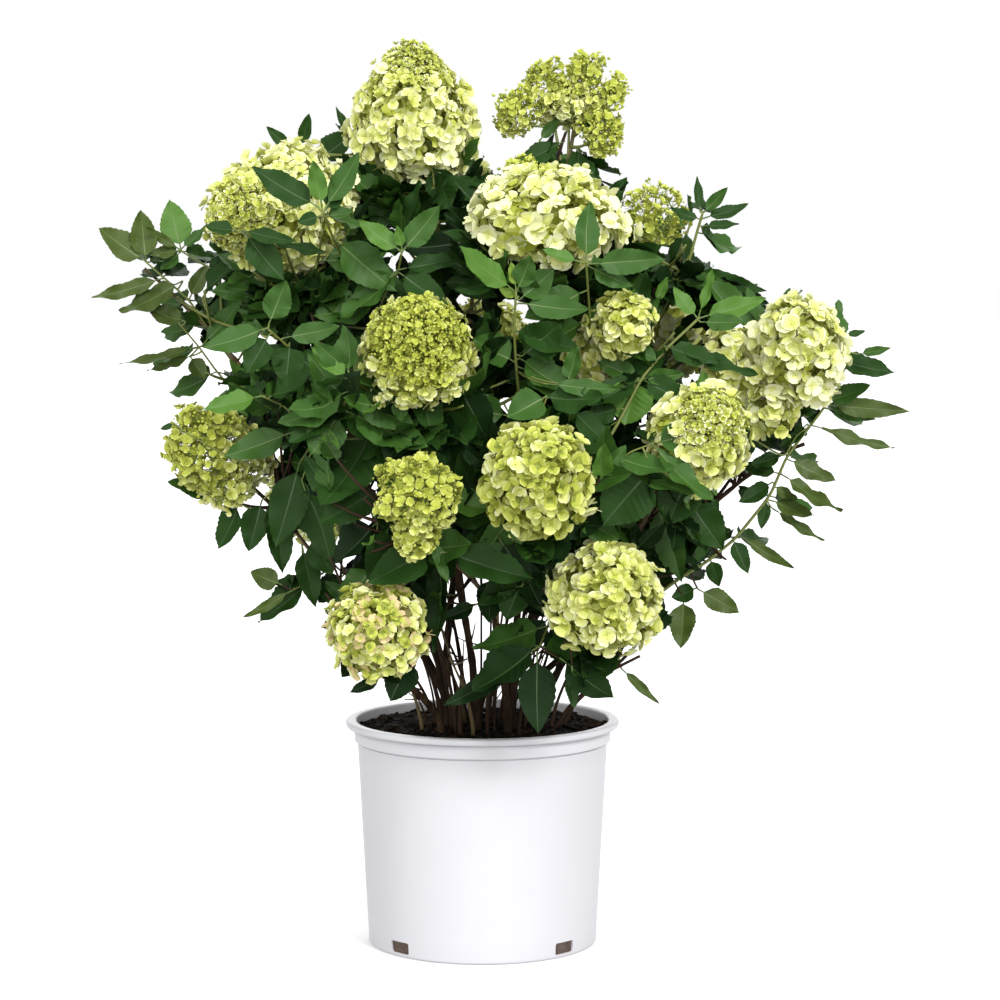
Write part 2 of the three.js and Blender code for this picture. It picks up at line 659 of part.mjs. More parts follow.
// One mass of foliage: a main twig from the bough's end, the twigs that branch from it, their
// leaves and their panicles, all joined.
function growMass(name, mass) {
  const { at, aim } = boughEnds[name];
  const outward = sites[mass].clone().sub(CROWN_HEART).normalize();
  const panicles = PANICLES.filter((panicle) => panicle.mass === name);
  const start = at.clone().addScaledVector(aim, GAP);
  const footOf = (panicle) => (
    vector(panicle.at).addScaledVector(vector(panicle.tip).normalize(), -PANICLE_FOOT * panicle.length)
  );
  const beyond = sites[mass].clone().addScaledVector(outward, 0.5 * reaches[mass]);
  const mainTip = panicles.length ? footOf(panicles[0]) : beyond;
  const mainLength = start.distanceTo(mainTip);
  const mainEnd = panicles.length ? vector(panicles[0].tip).normalize() : outward;
  const mainCurve = new THREE.CubicBezierCurve3(
    start,
    start.clone().addScaledVector(aim, mainLength * 0.35),
    mainTip.clone().addScaledVector(mainEnd, -mainLength * 0.3),
    mainTip,
  );
  const twigs = [{ curve: mainCurve, steps: MAIN_STEPS, end: mainTip }];
  const onMain = (share) => onLimb(mainCurve, MAIN_STEPS, share);
  const planned = panicles.slice(1).map((panicle) => ({ end: footOf(panicle) }));
  for (const tip of SHOOT_TIPS.map(vector).filter((each) => depthInSpace(each, mass) > 0)) {
    const from = onMain(0.4);
    const end = from.clone().lerp(tip, 1 - (LEAF_LENGTH * SHOOT_LEAF_SHARE) / from.distanceTo(tip));
    planned.push({ end, tip });
  }
  planned.forEach(({ end, tip }, i) => {
    const from = onMain(0.15 + 0.6 * ((i * 0.618) % 1));
    twigs.push({ curve: twigCurve(from, end, mass), steps: TWIG_STEPS, end, tip });
  });
  const clear = (curve) => {
    const points = curve.getPoints(8);
    const flowers = points.some((point) => panicles.some((panicle) => inPanicle(point, panicle, FLOWER_GAP)));
    return !flowers && twigFits(curve, mass) && !twigMeetsLimb(curve);
  };
  fillTips(mass, outward).forEach((direction, i) => {
    if (twigs.length > MOST_TWIGS) return;
    for (const reach of TWIG_REACHES) {
      const end = sites[mass].clone().addScaledVector(direction, reach * reaches[mass]);
      if (twigs.some((twig) => twig.end.distanceTo(end) < TWIG_TIPS_APART)) continue;
      for (const share of [0.2 + 0.5 * chance(mass, i, 4), ...TWIG_STARTS]) {
        const curve = twigCurve(onMain(share), end, mass);
        if (clear(curve)) {
          twigs.push({ curve, steps: TWIG_STEPS, end });
          return;
        }
      }
    }
  });
  let solid = solidOf(limb(mainCurve, MAIN_RADIUS, TWIG_SIDES, MAIN_STEPS).geometry);
  twigs.slice(1).forEach(({ curve }) => {
    solid = solid.add(solidOf(limb(curve, TWIG_RADIUS, TWIG_SIDES, TWIG_STEPS).geometry));
  });
  panicles.forEach((panicle, i) => {
    solid = solid.add(solidOf(panicleGeometry(panicle, mass * 10 + i)));
  });
  const places = twigs.map((twig, i) => twigLeaves(twig, mass, i, outward));
  let leaves = 0;
  for (let pair = 0; pair < Math.max(...places.map((each) => each.length)); pair += 1) {
    for (const place of places.map((each) => each[pair]).filter(Boolean)) {
      const joined = leaves < MOST_LEAVES && joinLeaf(place, mass, panicles, solid);
      if (joined) {
        solid = joined;
        leaves += 1;
      }
    }
  }
  return geometryOf(solid);
}

massNames.forEach((name, mass) => {
  const panicle = PANICLES.find((each) => each.mass === name);
  addMesh(`foliage_${name}`, growMass(name, mass), panicle ? panicle.colour : LEAF_GREEN, 0.7);
});

export default hydrangea;
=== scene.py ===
"""A panicle hydrangea in a white nursery pot.

The plant is grown again here by the same seeded rule as its solids, in millimetres, and carried on to
finer twigs, leaves and flowers. Meshes are written in metres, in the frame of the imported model.
"""
import math
from collections import namedtuple

import bpy
import numpy as np
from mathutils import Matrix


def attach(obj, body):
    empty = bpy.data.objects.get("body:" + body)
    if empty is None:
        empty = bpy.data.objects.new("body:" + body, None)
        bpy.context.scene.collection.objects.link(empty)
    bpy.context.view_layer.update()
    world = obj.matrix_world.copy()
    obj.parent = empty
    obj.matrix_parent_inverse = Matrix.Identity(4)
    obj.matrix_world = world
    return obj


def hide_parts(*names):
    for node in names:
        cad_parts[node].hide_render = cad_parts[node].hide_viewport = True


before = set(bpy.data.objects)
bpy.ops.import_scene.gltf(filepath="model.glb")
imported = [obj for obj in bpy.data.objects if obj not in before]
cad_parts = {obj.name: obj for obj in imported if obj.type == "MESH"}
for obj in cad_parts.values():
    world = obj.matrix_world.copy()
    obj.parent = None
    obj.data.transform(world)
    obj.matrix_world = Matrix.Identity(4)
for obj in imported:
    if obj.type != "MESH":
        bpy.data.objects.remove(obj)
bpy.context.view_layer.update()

MM = 0.001

# The camera: its place in millimetres, how far it looks down, and its focal length in pixels of a frame
# 1000 pixels wide
CAMERA_AT = np.array((18, -3000, 698.0))
CAMERA_DOWN = math.radians(4.64)
FOCAL_PIXELS = 2949
FRAME_MIDDLE = 500
FRAME_WIDTH = 1000
SENSOR_WIDTH = 36

# The pot, in millimetres like every length below
RIM_RADIUS = 140
COLLAR_RADIUS = 131.5
BODY_TOP_RADIUS = 128
BASE_RADIUS = 117
POT_HEIGHT = 230
LIP_HEIGHT = 7
COLLAR_HEIGHT = 16
COLLAR_STEP = 3
WALL = 2.5
FLOOR = 3
POT_SIDES = 144
SLOT_WIDTH = 25
SLOT_DEPTH = 12
SLOT_BOTTOM = 4
SLOT_TOP = 16
SLOT_COUNT = 4
SLOT_CORNER = 2
SHARP_EDGE = math.radians(42)

# The soil
SOIL_TOP = 224
SOIL_EDGE = 222
SOIL_FLAT_RADIUS = 88
SOIL_RINGS = 36
SOIL_SPOKES = 126
CHIP_COUNT = 900

# The gap between one solid and the next
GAP = 0.3

# Stems and boughs: radii at the foot and the tip, of the solid stems and of their slimmer bark, and how the
# stems fork and their boughs reach the masses
STEM_RADIUS = (4.8, 3.8)
STEM_BARK_RADIUS = (3.7, 3.2)
BOUGH_RADIUS = (2.4, 2)
BARK_FLARE = 0.3
FLARE_SHARE = 0.08
FOOT_SUNK = 4
STEM_BASE_RADII = (36, 62)
FORK_SHARE = 0.5
FORK_SPREAD = 0.34
ENTRY_REACH = 1.05
ENTRY_SHARE = 0.55
ENTRY_DEPTH = 6

# The crown: the place in it that the foliage faces away from, the depth behind which leaves turn to the
# back, and the corners of its box
CROWN_HEART = np.array((10, -10, 400.0))
CROWN_RIDGE = 40
CROWN_LOW = np.array((-398, -364, 285.0))
CROWN_HIGH = np.array((428, 400, 916.0))

# Twigs
MAIN_RADIUS = (2.3, 1.7)
TWIG_RADIUS = (1.9, 1.1)
TWIG_TRIES = 150
TWIG_REACHES = (0.76, 0.56, 0.36)
INNER_REACHES = (1.3, 1.05)
INNER_SWELL = 1.6
INNER_COUNT = 4
TWIG_STARTS = (0.15, 0.6)
TWIG_BOW = 0.16
MOST_TWIGS = 13
OPEN_MASSES = {"left_spray": 6, "right_low": 8, "top_right": 1, "upper_right": 10}
TWIG_TIPS_APART = 36
FILL_CONE = math.radians(150)
SIDE_TWIGS_APART = 34
SIDE_TWIG_LENGTH = 62
INNER_LEAVES = 26
BARE_BELOW = 330
GOLDEN_ANGLE = math.pi * (3 - math.sqrt(5))

# A little more than a full turn, for bearings that are drawn
ANY_TURN = 6.3

# Leaves
LEAF_LENGTH = 97
LEAF_WIDTH_SHARE = 0.5
PAIRS_APART = 42
SHOOT_PAIRS_APART = 40
MOST_LEAVES = 80
TUFT_SHARE = 0.985
LEAF_SIZES = (1, 0.84, 0.7)
LEAF_TURNS = (0, 0.55, -0.55, 1.1, -1.1)
LEAF_REACH = 1.22
SHOOT_LEAF_SHARE = 0.55
NODE_LEAF = 68
OPEN_SHOOT_DEPTH = -100
BARE_TWIG = 1.9
STALK_REACH = 25
PANICLE_FOOT = 0.36
PANICLE_TOP = 0.36
SPACE_GAP = 0.5
LIMB_GAP = 1.2
FLOWER_GAP = 4

# The two masses that each stem carries
STEMS = (
    ("left_spray", "upper_left"),
    ("left", "low_left"),
    ("top_left", "centre"),
    ("low_centre", "low_mid"),
    ("top_right", "upper_centre"),
    ("upper_right", "centre_right"),
    ("right", "mid_right"),
    ("right_low", "low_right"),
    ("back_top", "back_mid"),
    ("back_upper_left", "back_low_left"),
    ("back_upper_right", "back_low_right"),
)

# Each mass: the middle of its leaves and how far they reach
MASSES = {
    "top_left": ((-71, -50, 798), 76),
    "top_right": ((91, 30, 833), 73),
    "upper_left": ((-194, -120, 739), 95),
    "upper_centre": ((66, -160, 718), 94),
    "upper_right": ((201, 10, 719), 75),
    "right": ((300, -65, 608), 98),
    "mid_right": ((191, -200, 514), 80),
    "centre": ((-68, -230, 603), 92),
    "centre_right": ((107, -150, 614), 77),
    "left": ((-242, -85, 508), 94),
    "left_spray": ((-312, 25, 662), 88),
    "low_centre": ((-83, -250, 482), 80),
    "low_mid": ((60, -250, 475), 77),
    "low_right": ((115, -210, 376), 80),
    "low_left": ((-117, -220, 370), 74),
    "right_low": ((282, 35, 492), 108),
    "back_top": ((-4, 125, 768), 96),
    "back_upper_left": ((-200, 120, 655), 112),
    "back_upper_right": ((205, 140, 650), 110),
    "back_mid": ((-2, 262, 599), 112),
    "back_low_left": ((-172, 175, 464), 112),
    "back_low_right": ((160, 205, 452), 112),
}

# Each panicle: its mass, middle, width, length, the way its tip points and how it blooms
Panicle = namedtuple("Panicle", "mass at width length axis kind")
PANICLES = [Panicle(*numbers) for numbers in (
    ("top_left", (-69, -60, 845), 132, 140, (0, -0.1, 1), "cone"),
    ("top_right", (104, 30, 893), 40, 34, (0.15, 0, 1), "lobe"),
    ("top_right", (66, 26, 878), 44, 36, (-0.3, 0, 1), "lobe"),
    ("top_right", (127, 20, 867), 32, 48, (0.5, 0, 0.9), "lobe"),
    ("top_right", (90, 28, 857), 72, 42, (0.1, 0, 1), "lobe_pale"),
    ("top_right", (35, 20, 848), 56, 38, (-0.5, 0, 0.8), "lobe"),
    ("top_right", (120, 10, 826), 52, 44, (0.7, -0.2, 0.5), "lobe"),
    ("upper_left", (-202, -118, 745), 132, 170, (-0.64, -0.76, -0.1), "cone"),
    ("upper_centre", (65, -170, 745), 164, 82, (0.05, -0.32, 0.94), "white"),
    ("upper_centre", (42, -110, 783), 36, 26, (-0.4, 0, 0.9), "lobe"),
    ("upper_right", (176, 10, 744), 82, 62, (0, -0.2, 1), "open"),
    ("right", (309, -112, 613), 102, 106, (0.15, -0.6, 0.8), "white"),
    ("right", (284, -105, 561), 48, 62, (0, -0.2, 1), "ball"),
    ("right", (247, -90, 598), 62, 88, (-0.3, -0.5, 0.7), "ball"),
    ("mid_right", (207, -240, 537), 100, 110, (0.35, -0.8, 0.45), "dome"),
    ("centre", (-58, -270, 619), 112, 108, (0.05, -0.85, 0.5), "disc"),
    ("centre_right", (134, -215, 641), 60, 54, (0.1, -0.6, 0.8), "small"),
    ("centre_right", (110, -165, 607), 58, 66, (0, -0.6, 0.8), "small"),
    ("left", (-261, -110, 508), 104, 124, (-0.6, -0.4, 0.6), "olive"),
    ("low_centre", (-58, -300, 485), 88, 72, (0, -0.7, 0.6), "airy"),
    ("low_centre", (-60, -296, 444), 30, 42, (0, -0.4, 0.9), "airy"),
    ("low_mid", (53, -310, 503), 106, 124, (0.05, -0.85, 0.45), "deep_ball"),
    ("low_right", (119, -240, 385), 110, 112, (0.2, -0.8, 0.4), "pale_ball"),
    ("low_left", (-100, -250, 355), 97, 92, (-0.3, -0.8, 0.3), "blush"),
    ("back_top", (-50, 140, 790), 104, 116, (0, 0.3, 0.9), "broad_cone"),
    ("back_upper_left", (-212, 135, 684), 112, 124, (-0.4, 0.5, 0.7), "disc"),
    ("back_upper_right", (192, 165, 640), 120, 126, (0.4, 0.6, 0.6), "broad_cone"),
    ("back_mid", (0, 285, 605), 118, 120, (0, 0.9, 0.5), "disc"),
    ("back_low_left", (-185, 210, 448), 108, 110, (-0.4, 0.8, 0.4), "ball"),
    ("back_low_right", (172, 235, 440), 112, 116, (0.4, 0.8, 0.4), "blush"),
)]

# The tips of the leafy shoots that stand out of the crown
SHOOT_TIPS = (
    (-222, -40, 366),
    (282, -60, 674),
    (244, -60, 356),
    (178, -150, 300),
)

# The masses whose leaves, twigs and flowers share pieces, so that each piece stays small
CROWN_PARTS = {
    "front_top": ("top_left", "top_right", "upper_centre"),
    "front_high": ("upper_left", "upper_right", "left_spray"),
    "front_middle": ("right", "mid_right", "centre", "centre_right", "left"),
    "front_low": ("low_centre", "low_mid", "low_right", "low_left", "right_low"),
    "back": (
        "back_top", "back_upper_left", "back_upper_right", "back_mid", "back_low_left", "back_low_right",
    ),
}

# The tints of the leaves, from the deepest to the youngest, and of their ribs. The deepest is also painted
# shade on leaves low under the crown.
DEEP_AND_SHADE, DARK, MID, FRESH, YOUNG, OLIVE, RIB, DARK_RIB = range(8)

# The outline of the leafy crown in the photo's frame. Only single shoots stand out of it.
CROWN_OUTLINE = (
    (350, 60), (408, 38), (470, 70), (484, 150), (497, 176), (516, 158), (548, 138), (600, 160),
    (634, 180), (692, 186), (694, 258), (740, 283), (800, 284), (846, 300), (850, 345), (838, 400),
    (785, 442), (757, 442), (750, 485), (716, 525), (705, 575), (697, 602), (676, 620), (668, 632),
    (640, 648), (612, 662), (608, 690), (585, 700), (560, 655), (545, 616), (470, 608), (434, 630),
    (425, 690), (393, 702), (349, 694), (322, 660), (318, 592), (312, 566), (290, 548), (262, 530),
    (240, 512), (204, 505), (163, 500), (163, 415), (190, 397), (205, 378), (188, 358), (205, 345),
    (193, 340), (198, 312), (210, 269), (200, 231), (194, 205), (200, 178), (240, 138), (298, 116),
    (330, 138),
)

# Leaves that show singly, shoot by shoot: where each starts and ends in the photo's frame, across and down,
# its depth, width and tint
SEEN_LEAVES = {
    "left_shoots": (
        (146, 262, 100, 229, 0, 27, OLIVE), (146, 262, 141, 211, 10, 24, OLIVE),
        (165, 278, 93, 297, -5, 15, OLIVE), (183, 281, 121, 311, 5, 24, OLIVE),
        (181, 252, 161, 269, 0, 16, MID), (181, 251, 170, 201, 20, 29, FRESH),
        (181, 251, 146, 252, 10, 13, OLIVE), (181, 249, 206, 226, 15, 11, MID),
        (180, 250, 146, 227, 24, 9, OLIVE), (189, 299, 207, 265, 0, 15, OLIVE),
        (186, 322, 147, 306, 5, 20, OLIVE), (199, 347, 122, 363, -5, 13, OLIVE),
        (195, 355, 148, 370, -12, 11, OLIVE), (190, 356, 205, 378, -5, 17, OLIVE),
        (203, 345, 240, 300, 0, 20, MID), (269, 324, 286, 281, -235, 24, MID),
        (260, 318, 215, 283, -240, 17, FRESH), (258, 318, 264, 290, -245, 12, FRESH),
        (268, 328, 204, 347, -230, 24, MID), (284, 338, 339, 326, -225, 18, MID),
        (262, 396, 204, 409, -245, 20, FRESH), (257, 392, 230, 361, -245, 14, FRESH),
        (259, 392, 263, 350, -240, 11, FRESH), (268, 398, 310, 376, -235, 26, DARK),
        (174, 424, 160, 429, -150, 6, DARK),
    ),
    "lower_left": (
        (282, 585, 251, 572, -140, 20, OLIVE), (293, 590, 243, 617, -145, 9, OLIVE),
    ),
    "top_left": (
        (292, 150, 267, 127, -60, 11, DARK), (300, 148, 309, 114, -55, 12, DARK),
        (318, 160, 352, 134, -40, 26, DARK), (352, 138, 336, 107, -45, 8, DARK),
    ),
    "rosette": (
        (319, 208, 254, 168, -265, 25, DARK), (322, 207, 313, 161, -268, 16, FRESH),
        (325, 209, 358, 154, -272, 20, MID), (325, 211, 342, 186, -262, 16, DARK),
        (327, 216, 353, 211, -262, 13, MID),
    ),
    "under_head": (
        (397, 175, 374, 231, -95, 30, DARK), (432, 162, 449, 210, -95, 28, DARK),
        (446, 172, 488, 214, -80, 24, DARK), (456, 180, 491, 184, -70, 8, DARK),
    ),
    "middle_rosette": (
        (474, 206, 498, 174, -120, 13, FRESH), (402, 252, 439, 206, -225, 22, MID),
        (402, 252, 359, 221, -225, 19, FRESH), (402, 249, 397, 226, -230, 9, FRESH),
        (398, 270, 464, 256, -215, 17, DARK), (397, 271, 352, 298, -210, 20, MID),
    ),
    "centre_rosette": (
        (514, 291, 461, 247, -275, 23, FRESH), (517, 291, 531, 256, -280, 19, MID),
        (516, 288, 511, 262, -285, 9, YOUNG), (519, 303, 589, 309, -268, 21, MID),
        (519, 300, 553, 270, -262, 24, MID),
    ),
    "on_head": (
        (586, 262, 590, 202, -275, 21, MID), (580, 262, 542, 249, -278, 11, FRESH),
        (590, 264, 664, 259, -262, 22, MID), (588, 266, 632, 286, -258, 18, MID),
    ),
    "top_right": (
        (565, 141, 514, 164, 10, 20, DARK), (539, 141, 560, 117, 0, 10, MID),
        (576, 121, 598, 132, -15, 13, DARK),
    ),
    "right_shoots": (
        (700, 212, 697, 177, -30, 9, DARK), (701, 220, 671, 208, -30, 11, DARK),
        (703, 213, 727, 188, -30, 12, MID), (704, 218, 748, 204, -30, 13, DARK),
        (703, 226, 738, 224, -35, 10, DARK), (697, 318, 674, 288, -170, 16, FRESH),
        (699, 316, 713, 266, -170, 9, FRESH), (700, 318, 764, 299, -175, 19, FRESH),
        (700, 322, 744, 322, -170, 17, MID), (671, 346, 756, 374, -185, 16, DARK),
        (637, 377, 625, 424, -285, 38, FRESH), (845, 335, 865, 331, -60, 7, DARK),
        (832, 358, 894, 372, -50, 21, DARK), (858, 354, 890, 348, -60, 9, MID),
        (825, 402, 870, 385, -20, 18, MID), (825, 405, 907, 411, -25, 18, OLIVE),
        (811, 425, 892, 447, -25, 13, OLIVE), (787, 459, 836, 480, -20, 18, OLIVE),
        (781, 474, 841, 510, -20, 15, OLIVE), (770, 500, 813, 515, -20, 19, OLIVE),
        (772, 508, 823, 540, -25, 10, OLIVE), (740, 536, 794, 568, -30, 11, OLIVE),
        (732, 537, 748, 573, -35, 17, DARK),
    ),
    "lower_right": (
        (698, 589, 739, 612, -60, 21, OLIVE), (684, 597, 681, 647, -70, 25, OLIVE),
    ),
    # Leaves over the pot are mostly deep green, painted shade under the crown.
    "over_pot": (
        (540, 646, 474, 690, -232, 46, DEEP_AND_SHADE), (514, 668, 444, 705, -200, 18, DEEP_AND_SHADE),
        (537, 652, 538, 731, -240, 33, DEEP_AND_SHADE), (560, 658, 613, 697, -235, 31, DEEP_AND_SHADE),
        (572, 666, 574, 708, -225, 14, DARK), (551, 616, 512, 657, -236, 25, DEEP_AND_SHADE),
        (524, 572, 506, 619, -225, 29, DARK), (441, 552, 434, 650, -228, 26, DEEP_AND_SHADE),
        (621, 668, 658, 703, -120, 9, OLIVE),
    ),
    "under_blush": (
        (411, 655, 391, 700, -205, 29, DEEP_AND_SHADE), (384, 676, 350, 692, -205, 12, DEEP_AND_SHADE),
    ),
    "middle_dark": (
        (611, 456, 674, 468, -268, 25, MID), (616, 464, 706, 492, -262, 16, MID),
    ),
    "left_dark": (
        (264, 324, 205, 321, -225, 20, MID), (269, 335, 246, 373, -225, 24, DARK),
        (290, 342, 286, 384, -215, 28, DARK),
    ),
    "fold": (
        (350, 378, 312, 348, -300, 15, FRESH), (349, 376, 344, 326, -285, 26, MID),
        (351, 379, 377, 347, -335, 14, OLIVE), (338, 404, 288, 409, -275, 26, MID),
        (334, 402, 311, 384, -280, 16, MID), (338, 406, 384, 388, -290, 24, FRESH),
        (341, 411, 311, 454, -300, 34, MID), (344, 410, 426, 446, -285, 34, MID),
    ),
    "left_inner": (
        (293, 432, 226, 456, -205, 26, MID), (374, 432, 321, 504, -240, 50, DARK),
        (316, 452, 304, 482, -260, 12, DARK), (378, 298, 333, 312, -225, 18, MID),
        (335, 292, 308, 311, -220, 20, MID),
    ),
    "lower_left_inner": (
        (240, 502, 218, 548, -120, 22, DARK), (262, 500, 249, 550, -130, 26, DARK),
        (277, 488, 283, 572, -140, 26, DARK), (302, 544, 316, 607, -150, 22, DARK),
        (310, 536, 332, 574, -150, 26, DARK), (345, 574, 320, 602, -160, 26, DEEP_AND_SHADE),
        (318, 600, 314, 572, -145, 10, OLIVE), (300, 462, 276, 545, -170, 34, DARK),
        (302, 480, 330, 562, -175, 34, DARK), (384, 486, 320, 522, -215, 32, DARK),
        (378, 522, 336, 562, -215, 36, DEEP_AND_SHADE), (402, 530, 368, 578, -230, 36, DARK),
        (374, 566, 340, 603, -210, 26, MID),
    ),
    "centre": (
        (519, 297, 499, 288, -262, 9, YOUNG), (514, 362, 474, 339, -262, 30, MID),
        (519, 358, 567, 387, -268, 30, MID), (522, 356, 560, 324, -240, 36, DARK),
        (567, 384, 577, 346, -255, 16, MID), (548, 384, 619, 389, -262, 15, MID),
        (512, 417, 443, 402, -255, 30, MID), (547, 396, 508, 417, -270, 28, MID),
        (543, 398, 602, 396, -255, 30, DARK), (424, 396, 431, 432, -250, 26, DARK),
        (398, 398, 402, 421, -262, 14, MID), (430, 458, 415, 432, -262, 20, MID),
        (445, 404, 470, 452, -240, 30, DEEP_AND_SHADE),
    ),
    "beside_low_centre": (
        (450, 500, 489, 508, -270, 26, FRESH), (446, 526, 503, 504, -255, 20, DARK),
    ),
    "low": (
        (444, 552, 532, 578, -262, 30, DARK), (500, 540, 530, 582, -250, 26, DEEP_AND_SHADE),
        (434, 548, 370, 582, -245, 34, DARK), (433, 536, 449, 584, -262, 11, MID),
    ),
    "right_inner": (
        (604, 322, 657, 360, -225, 26, MID), (612, 336, 654, 366, -215, 20, DARK),
        (642, 380, 598, 361, -255, 18, MID), (664, 346, 718, 362, -190, 22, DARK),
        (641, 379, 684, 374, -235, 14, MID), (570, 408, 613, 446, -255, 24, DARK),
        (621, 408, 586, 416, -245, 22, DARK),
    ),
    "middle_fold": (
        (656, 443, 692, 434, -275, 24, MID), (650, 443, 713, 500, -255, 20, MID),
        (652, 468, 604, 524, -235, 46, DARK), (690, 470, 668, 524, -225, 40, DARK),
        (576, 512, 619, 539, -275, 28, MID),
    ),
    "right_arch_inner": (
        (656, 500, 681, 580, -225, 28, MID), (688, 500, 722, 548, -180, 34, DARK),
        (826, 408, 876, 419, -20, 13, MID), (808, 424, 781, 446, -20, 14, DARK),
        (773, 486, 798, 499, -20, 12, OLIVE), (784, 455, 750, 465, -10, 14, DARK),
        (780, 474, 739, 463, -10, 14, DARK), (773, 482, 739, 502, -10, 17, DARK),
        (767, 499, 761, 529, -10, 12, DARK), (710, 558, 719, 586, -40, 16, DARK),
    ),
    "lower_right_dark": ((697, 588, 672, 598, -70, 18, DARK),),
    "rosette_low": ((320, 216, 298, 222, -262, 12, DARK),),
    "under_left": (
        (243, 232, 283, 279, -205, 28, DARK), (241, 230, 295, 241, -207, 13, DARK),
        (237, 230, 205, 226, -205, 14, DARK), (337, 254, 268, 238, -225, 10, DARK),
    ),
    "right_back": ((690, 270, 766, 291, -60, 16, DARK),),
    # Deep green as painted shade under the crown.
    "pot_inner": (
        (492, 575, 489, 622, -200, 25, DEEP_AND_SHADE), (478, 604, 444, 618, -200, 14, DEEP_AND_SHADE),
        (536, 566, 556, 602, -205, 26, DEEP_AND_SHADE), (548, 622, 580, 664, -215, 34, DEEP_AND_SHADE),
    ),
}

# Twigs that show singly: the places in the photo's frame that each passes, from its tip down, its depth at
# its tip and at its foot, and its radius
SEEN_TWIGS = {
    "left_top": (((146, 262), (163, 277), (189, 300), (202, 320), (240, 372)), (0, 20), 1.3),
    "left_high": (((181, 251), (204, 265), (238, 283), (262, 318)), (10, 25), 1.2),
    "left_low": (((178, 322), (199, 347), (217, 372), (252, 410)), (-5, 10), 1.2),
    "left_rosette": (((268, 329), (292, 350), (309, 372), (322, 392)), (-222, -160), 1.4),
    "left_lower": (((262, 396), (284, 406), (300, 422), (318, 440)), (-222, -160), 1.4),
    "rosette": (((323, 213), (333, 238), (342, 258), (353, 290)), (-236, -140), 1.5),
    "middle_rosette": (((402, 252), (398, 272), (384, 296), (372, 330)), (-215, -150), 1.3),
    "centre_rosette": (((516, 291), (514, 330), (516, 366), (519, 396)), (-256, -215), 1.6),
    "fold": (((350, 378), (351, 390), (342, 408), (338, 430)), (-285, -230), 1.3),
    "on_head": (((586, 262), (588, 290), (590, 320), (586, 352)), (-262, -190), 1.4),
    "top_right": (((566, 132), (562, 143), (557, 162), (548, 190)), (18, 25), 2.0),
    "right_top": (((703, 212), (697, 232), (687, 268), (664, 308), (640, 352)), (-35, -10), 1.7),
    "right_rosette": (((698, 319), (668, 347), (641, 379), (620, 420), (597, 458)), (-185, -225), 1.7),
    "right_arch": (
        ((830, 396), (824, 408), (787, 456), (770, 496), (736, 538), (708, 561), (680, 578), (650, 600)),
        (-20, 20), 1.7),
    "right_fork": (((811, 425), (796, 436), (784, 458)), (-18, -12), 1.0),
    "middle_fork": (((654, 443), (630, 452), (616, 464)), (-268, -262), 1.0),
    "middle_stalk": (((616, 464), (600, 484), (582, 504), (572, 520)), (-262, -225), 1.4),
    "lower_left": (((293, 590), (310, 582), (336, 564)), (-140, -110), 1.0),
    "bare_right": (((642, 638), (630, 652), (618, 664), (591, 686), (568, 708), (552, 734)), (-20, 0), 1.91),
    "bare_right_low": (((640, 656), (612, 670), (597, 682), (574, 704), (559, 734)), (-15, 5), 1.91),
    "pot_stalk": (((540, 646), (548, 626), (556, 600)), (-215, -150), 1.3),
    "pot_stalk_high": (((522, 586), (526, 566), (530, 540)), (-215, -150), 1.2),
}

# Small places in the photo's frame where it shows white through the crown: across, down and radius
WHITE_GAPS = (
    (266, 362, 7), (266, 352, 5), (240, 357, 5), (243, 337, 4), (222, 345, 5), (206, 350, 6),
    (266, 468, 6), (262, 478, 4), (268, 489, 5), (271, 503, 5), (296, 494, 5), (301, 506, 3),
    (308, 515, 4), (333, 524, 4), (325, 533, 5), (327, 545, 4), (349, 535, 5), (370, 507, 6),
    (361, 511, 4), (345, 566, 3), (343, 438, 3), (288, 540, 9), (297, 548, 6), (316, 575, 6),
    (334, 560, 7), (336, 572, 5), (312, 590, 4), (276, 457, 3), (678, 311, 9), (690, 318, 7),
    (661, 338, 8), (656, 346, 4), (689, 341, 4), (676, 366, 5), (692, 366, 4), (670, 378, 4),
    (682, 378, 4), (612, 404, 4), (561, 350, 4), (523, 319, 5), (518, 337, 3), (476, 309, 4),
    (508, 317, 3), (662, 491, 4), (645, 510, 5), (643, 518, 4), (650, 505, 4), (729, 500, 5),
    (735, 486, 6), (745, 492, 5), (700, 493, 4), (646, 432, 4), (372, 479, 3), (461, 573, 4),
    (470, 576, 3), (667, 592, 3), (678, 578, 4), (392, 281, 4), (491, 395, 4), (506, 400, 4),
)

UP = np.array((0, 0, 1.0))
LEVEL = np.array((1.0, 1.0, 0.3))
MASS_NAMES = list(MASSES)
SITES = np.array([MASSES[name][0] for name in MASS_NAMES], float)
REACHES = np.array([MASSES[name][1] for name in MASS_NAMES], float)


# Small vector helpers

def seen(across, down, depth):
    """The point in millimetres that shows at a place in the photo's frame and lies at the given depth."""
    right = (across - FRAME_MIDDLE) / FOCAL_PIXELS
    above = (FRAME_MIDDLE - down) / FOCAL_PIXELS
    way = np.array((
        right,
        math.cos(CAMERA_DOWN) + above * math.sin(CAMERA_DOWN),
        above * math.cos(CAMERA_DOWN) - math.sin(CAMERA_DOWN),
    ))
    return CAMERA_AT + way * (depth - CAMERA_AT[1]) / way[1]


def frame_places(points):
    """Where points in millimetres show in the photo's frame."""
    way = np.asarray(points, float) - CAMERA_AT
    ahead = way[..., 1] * math.cos(CAMERA_DOWN) - way[..., 2] * math.sin(CAMERA_DOWN)
    above = way[..., 1] * math.sin(CAMERA_DOWN) + way[..., 2] * math.cos(CAMERA_DOWN)
    return FRAME_MIDDLE + FOCAL_PIXELS * way[..., 0] / ahead, FRAME_MIDDLE - FOCAL_PIXELS * above / ahead


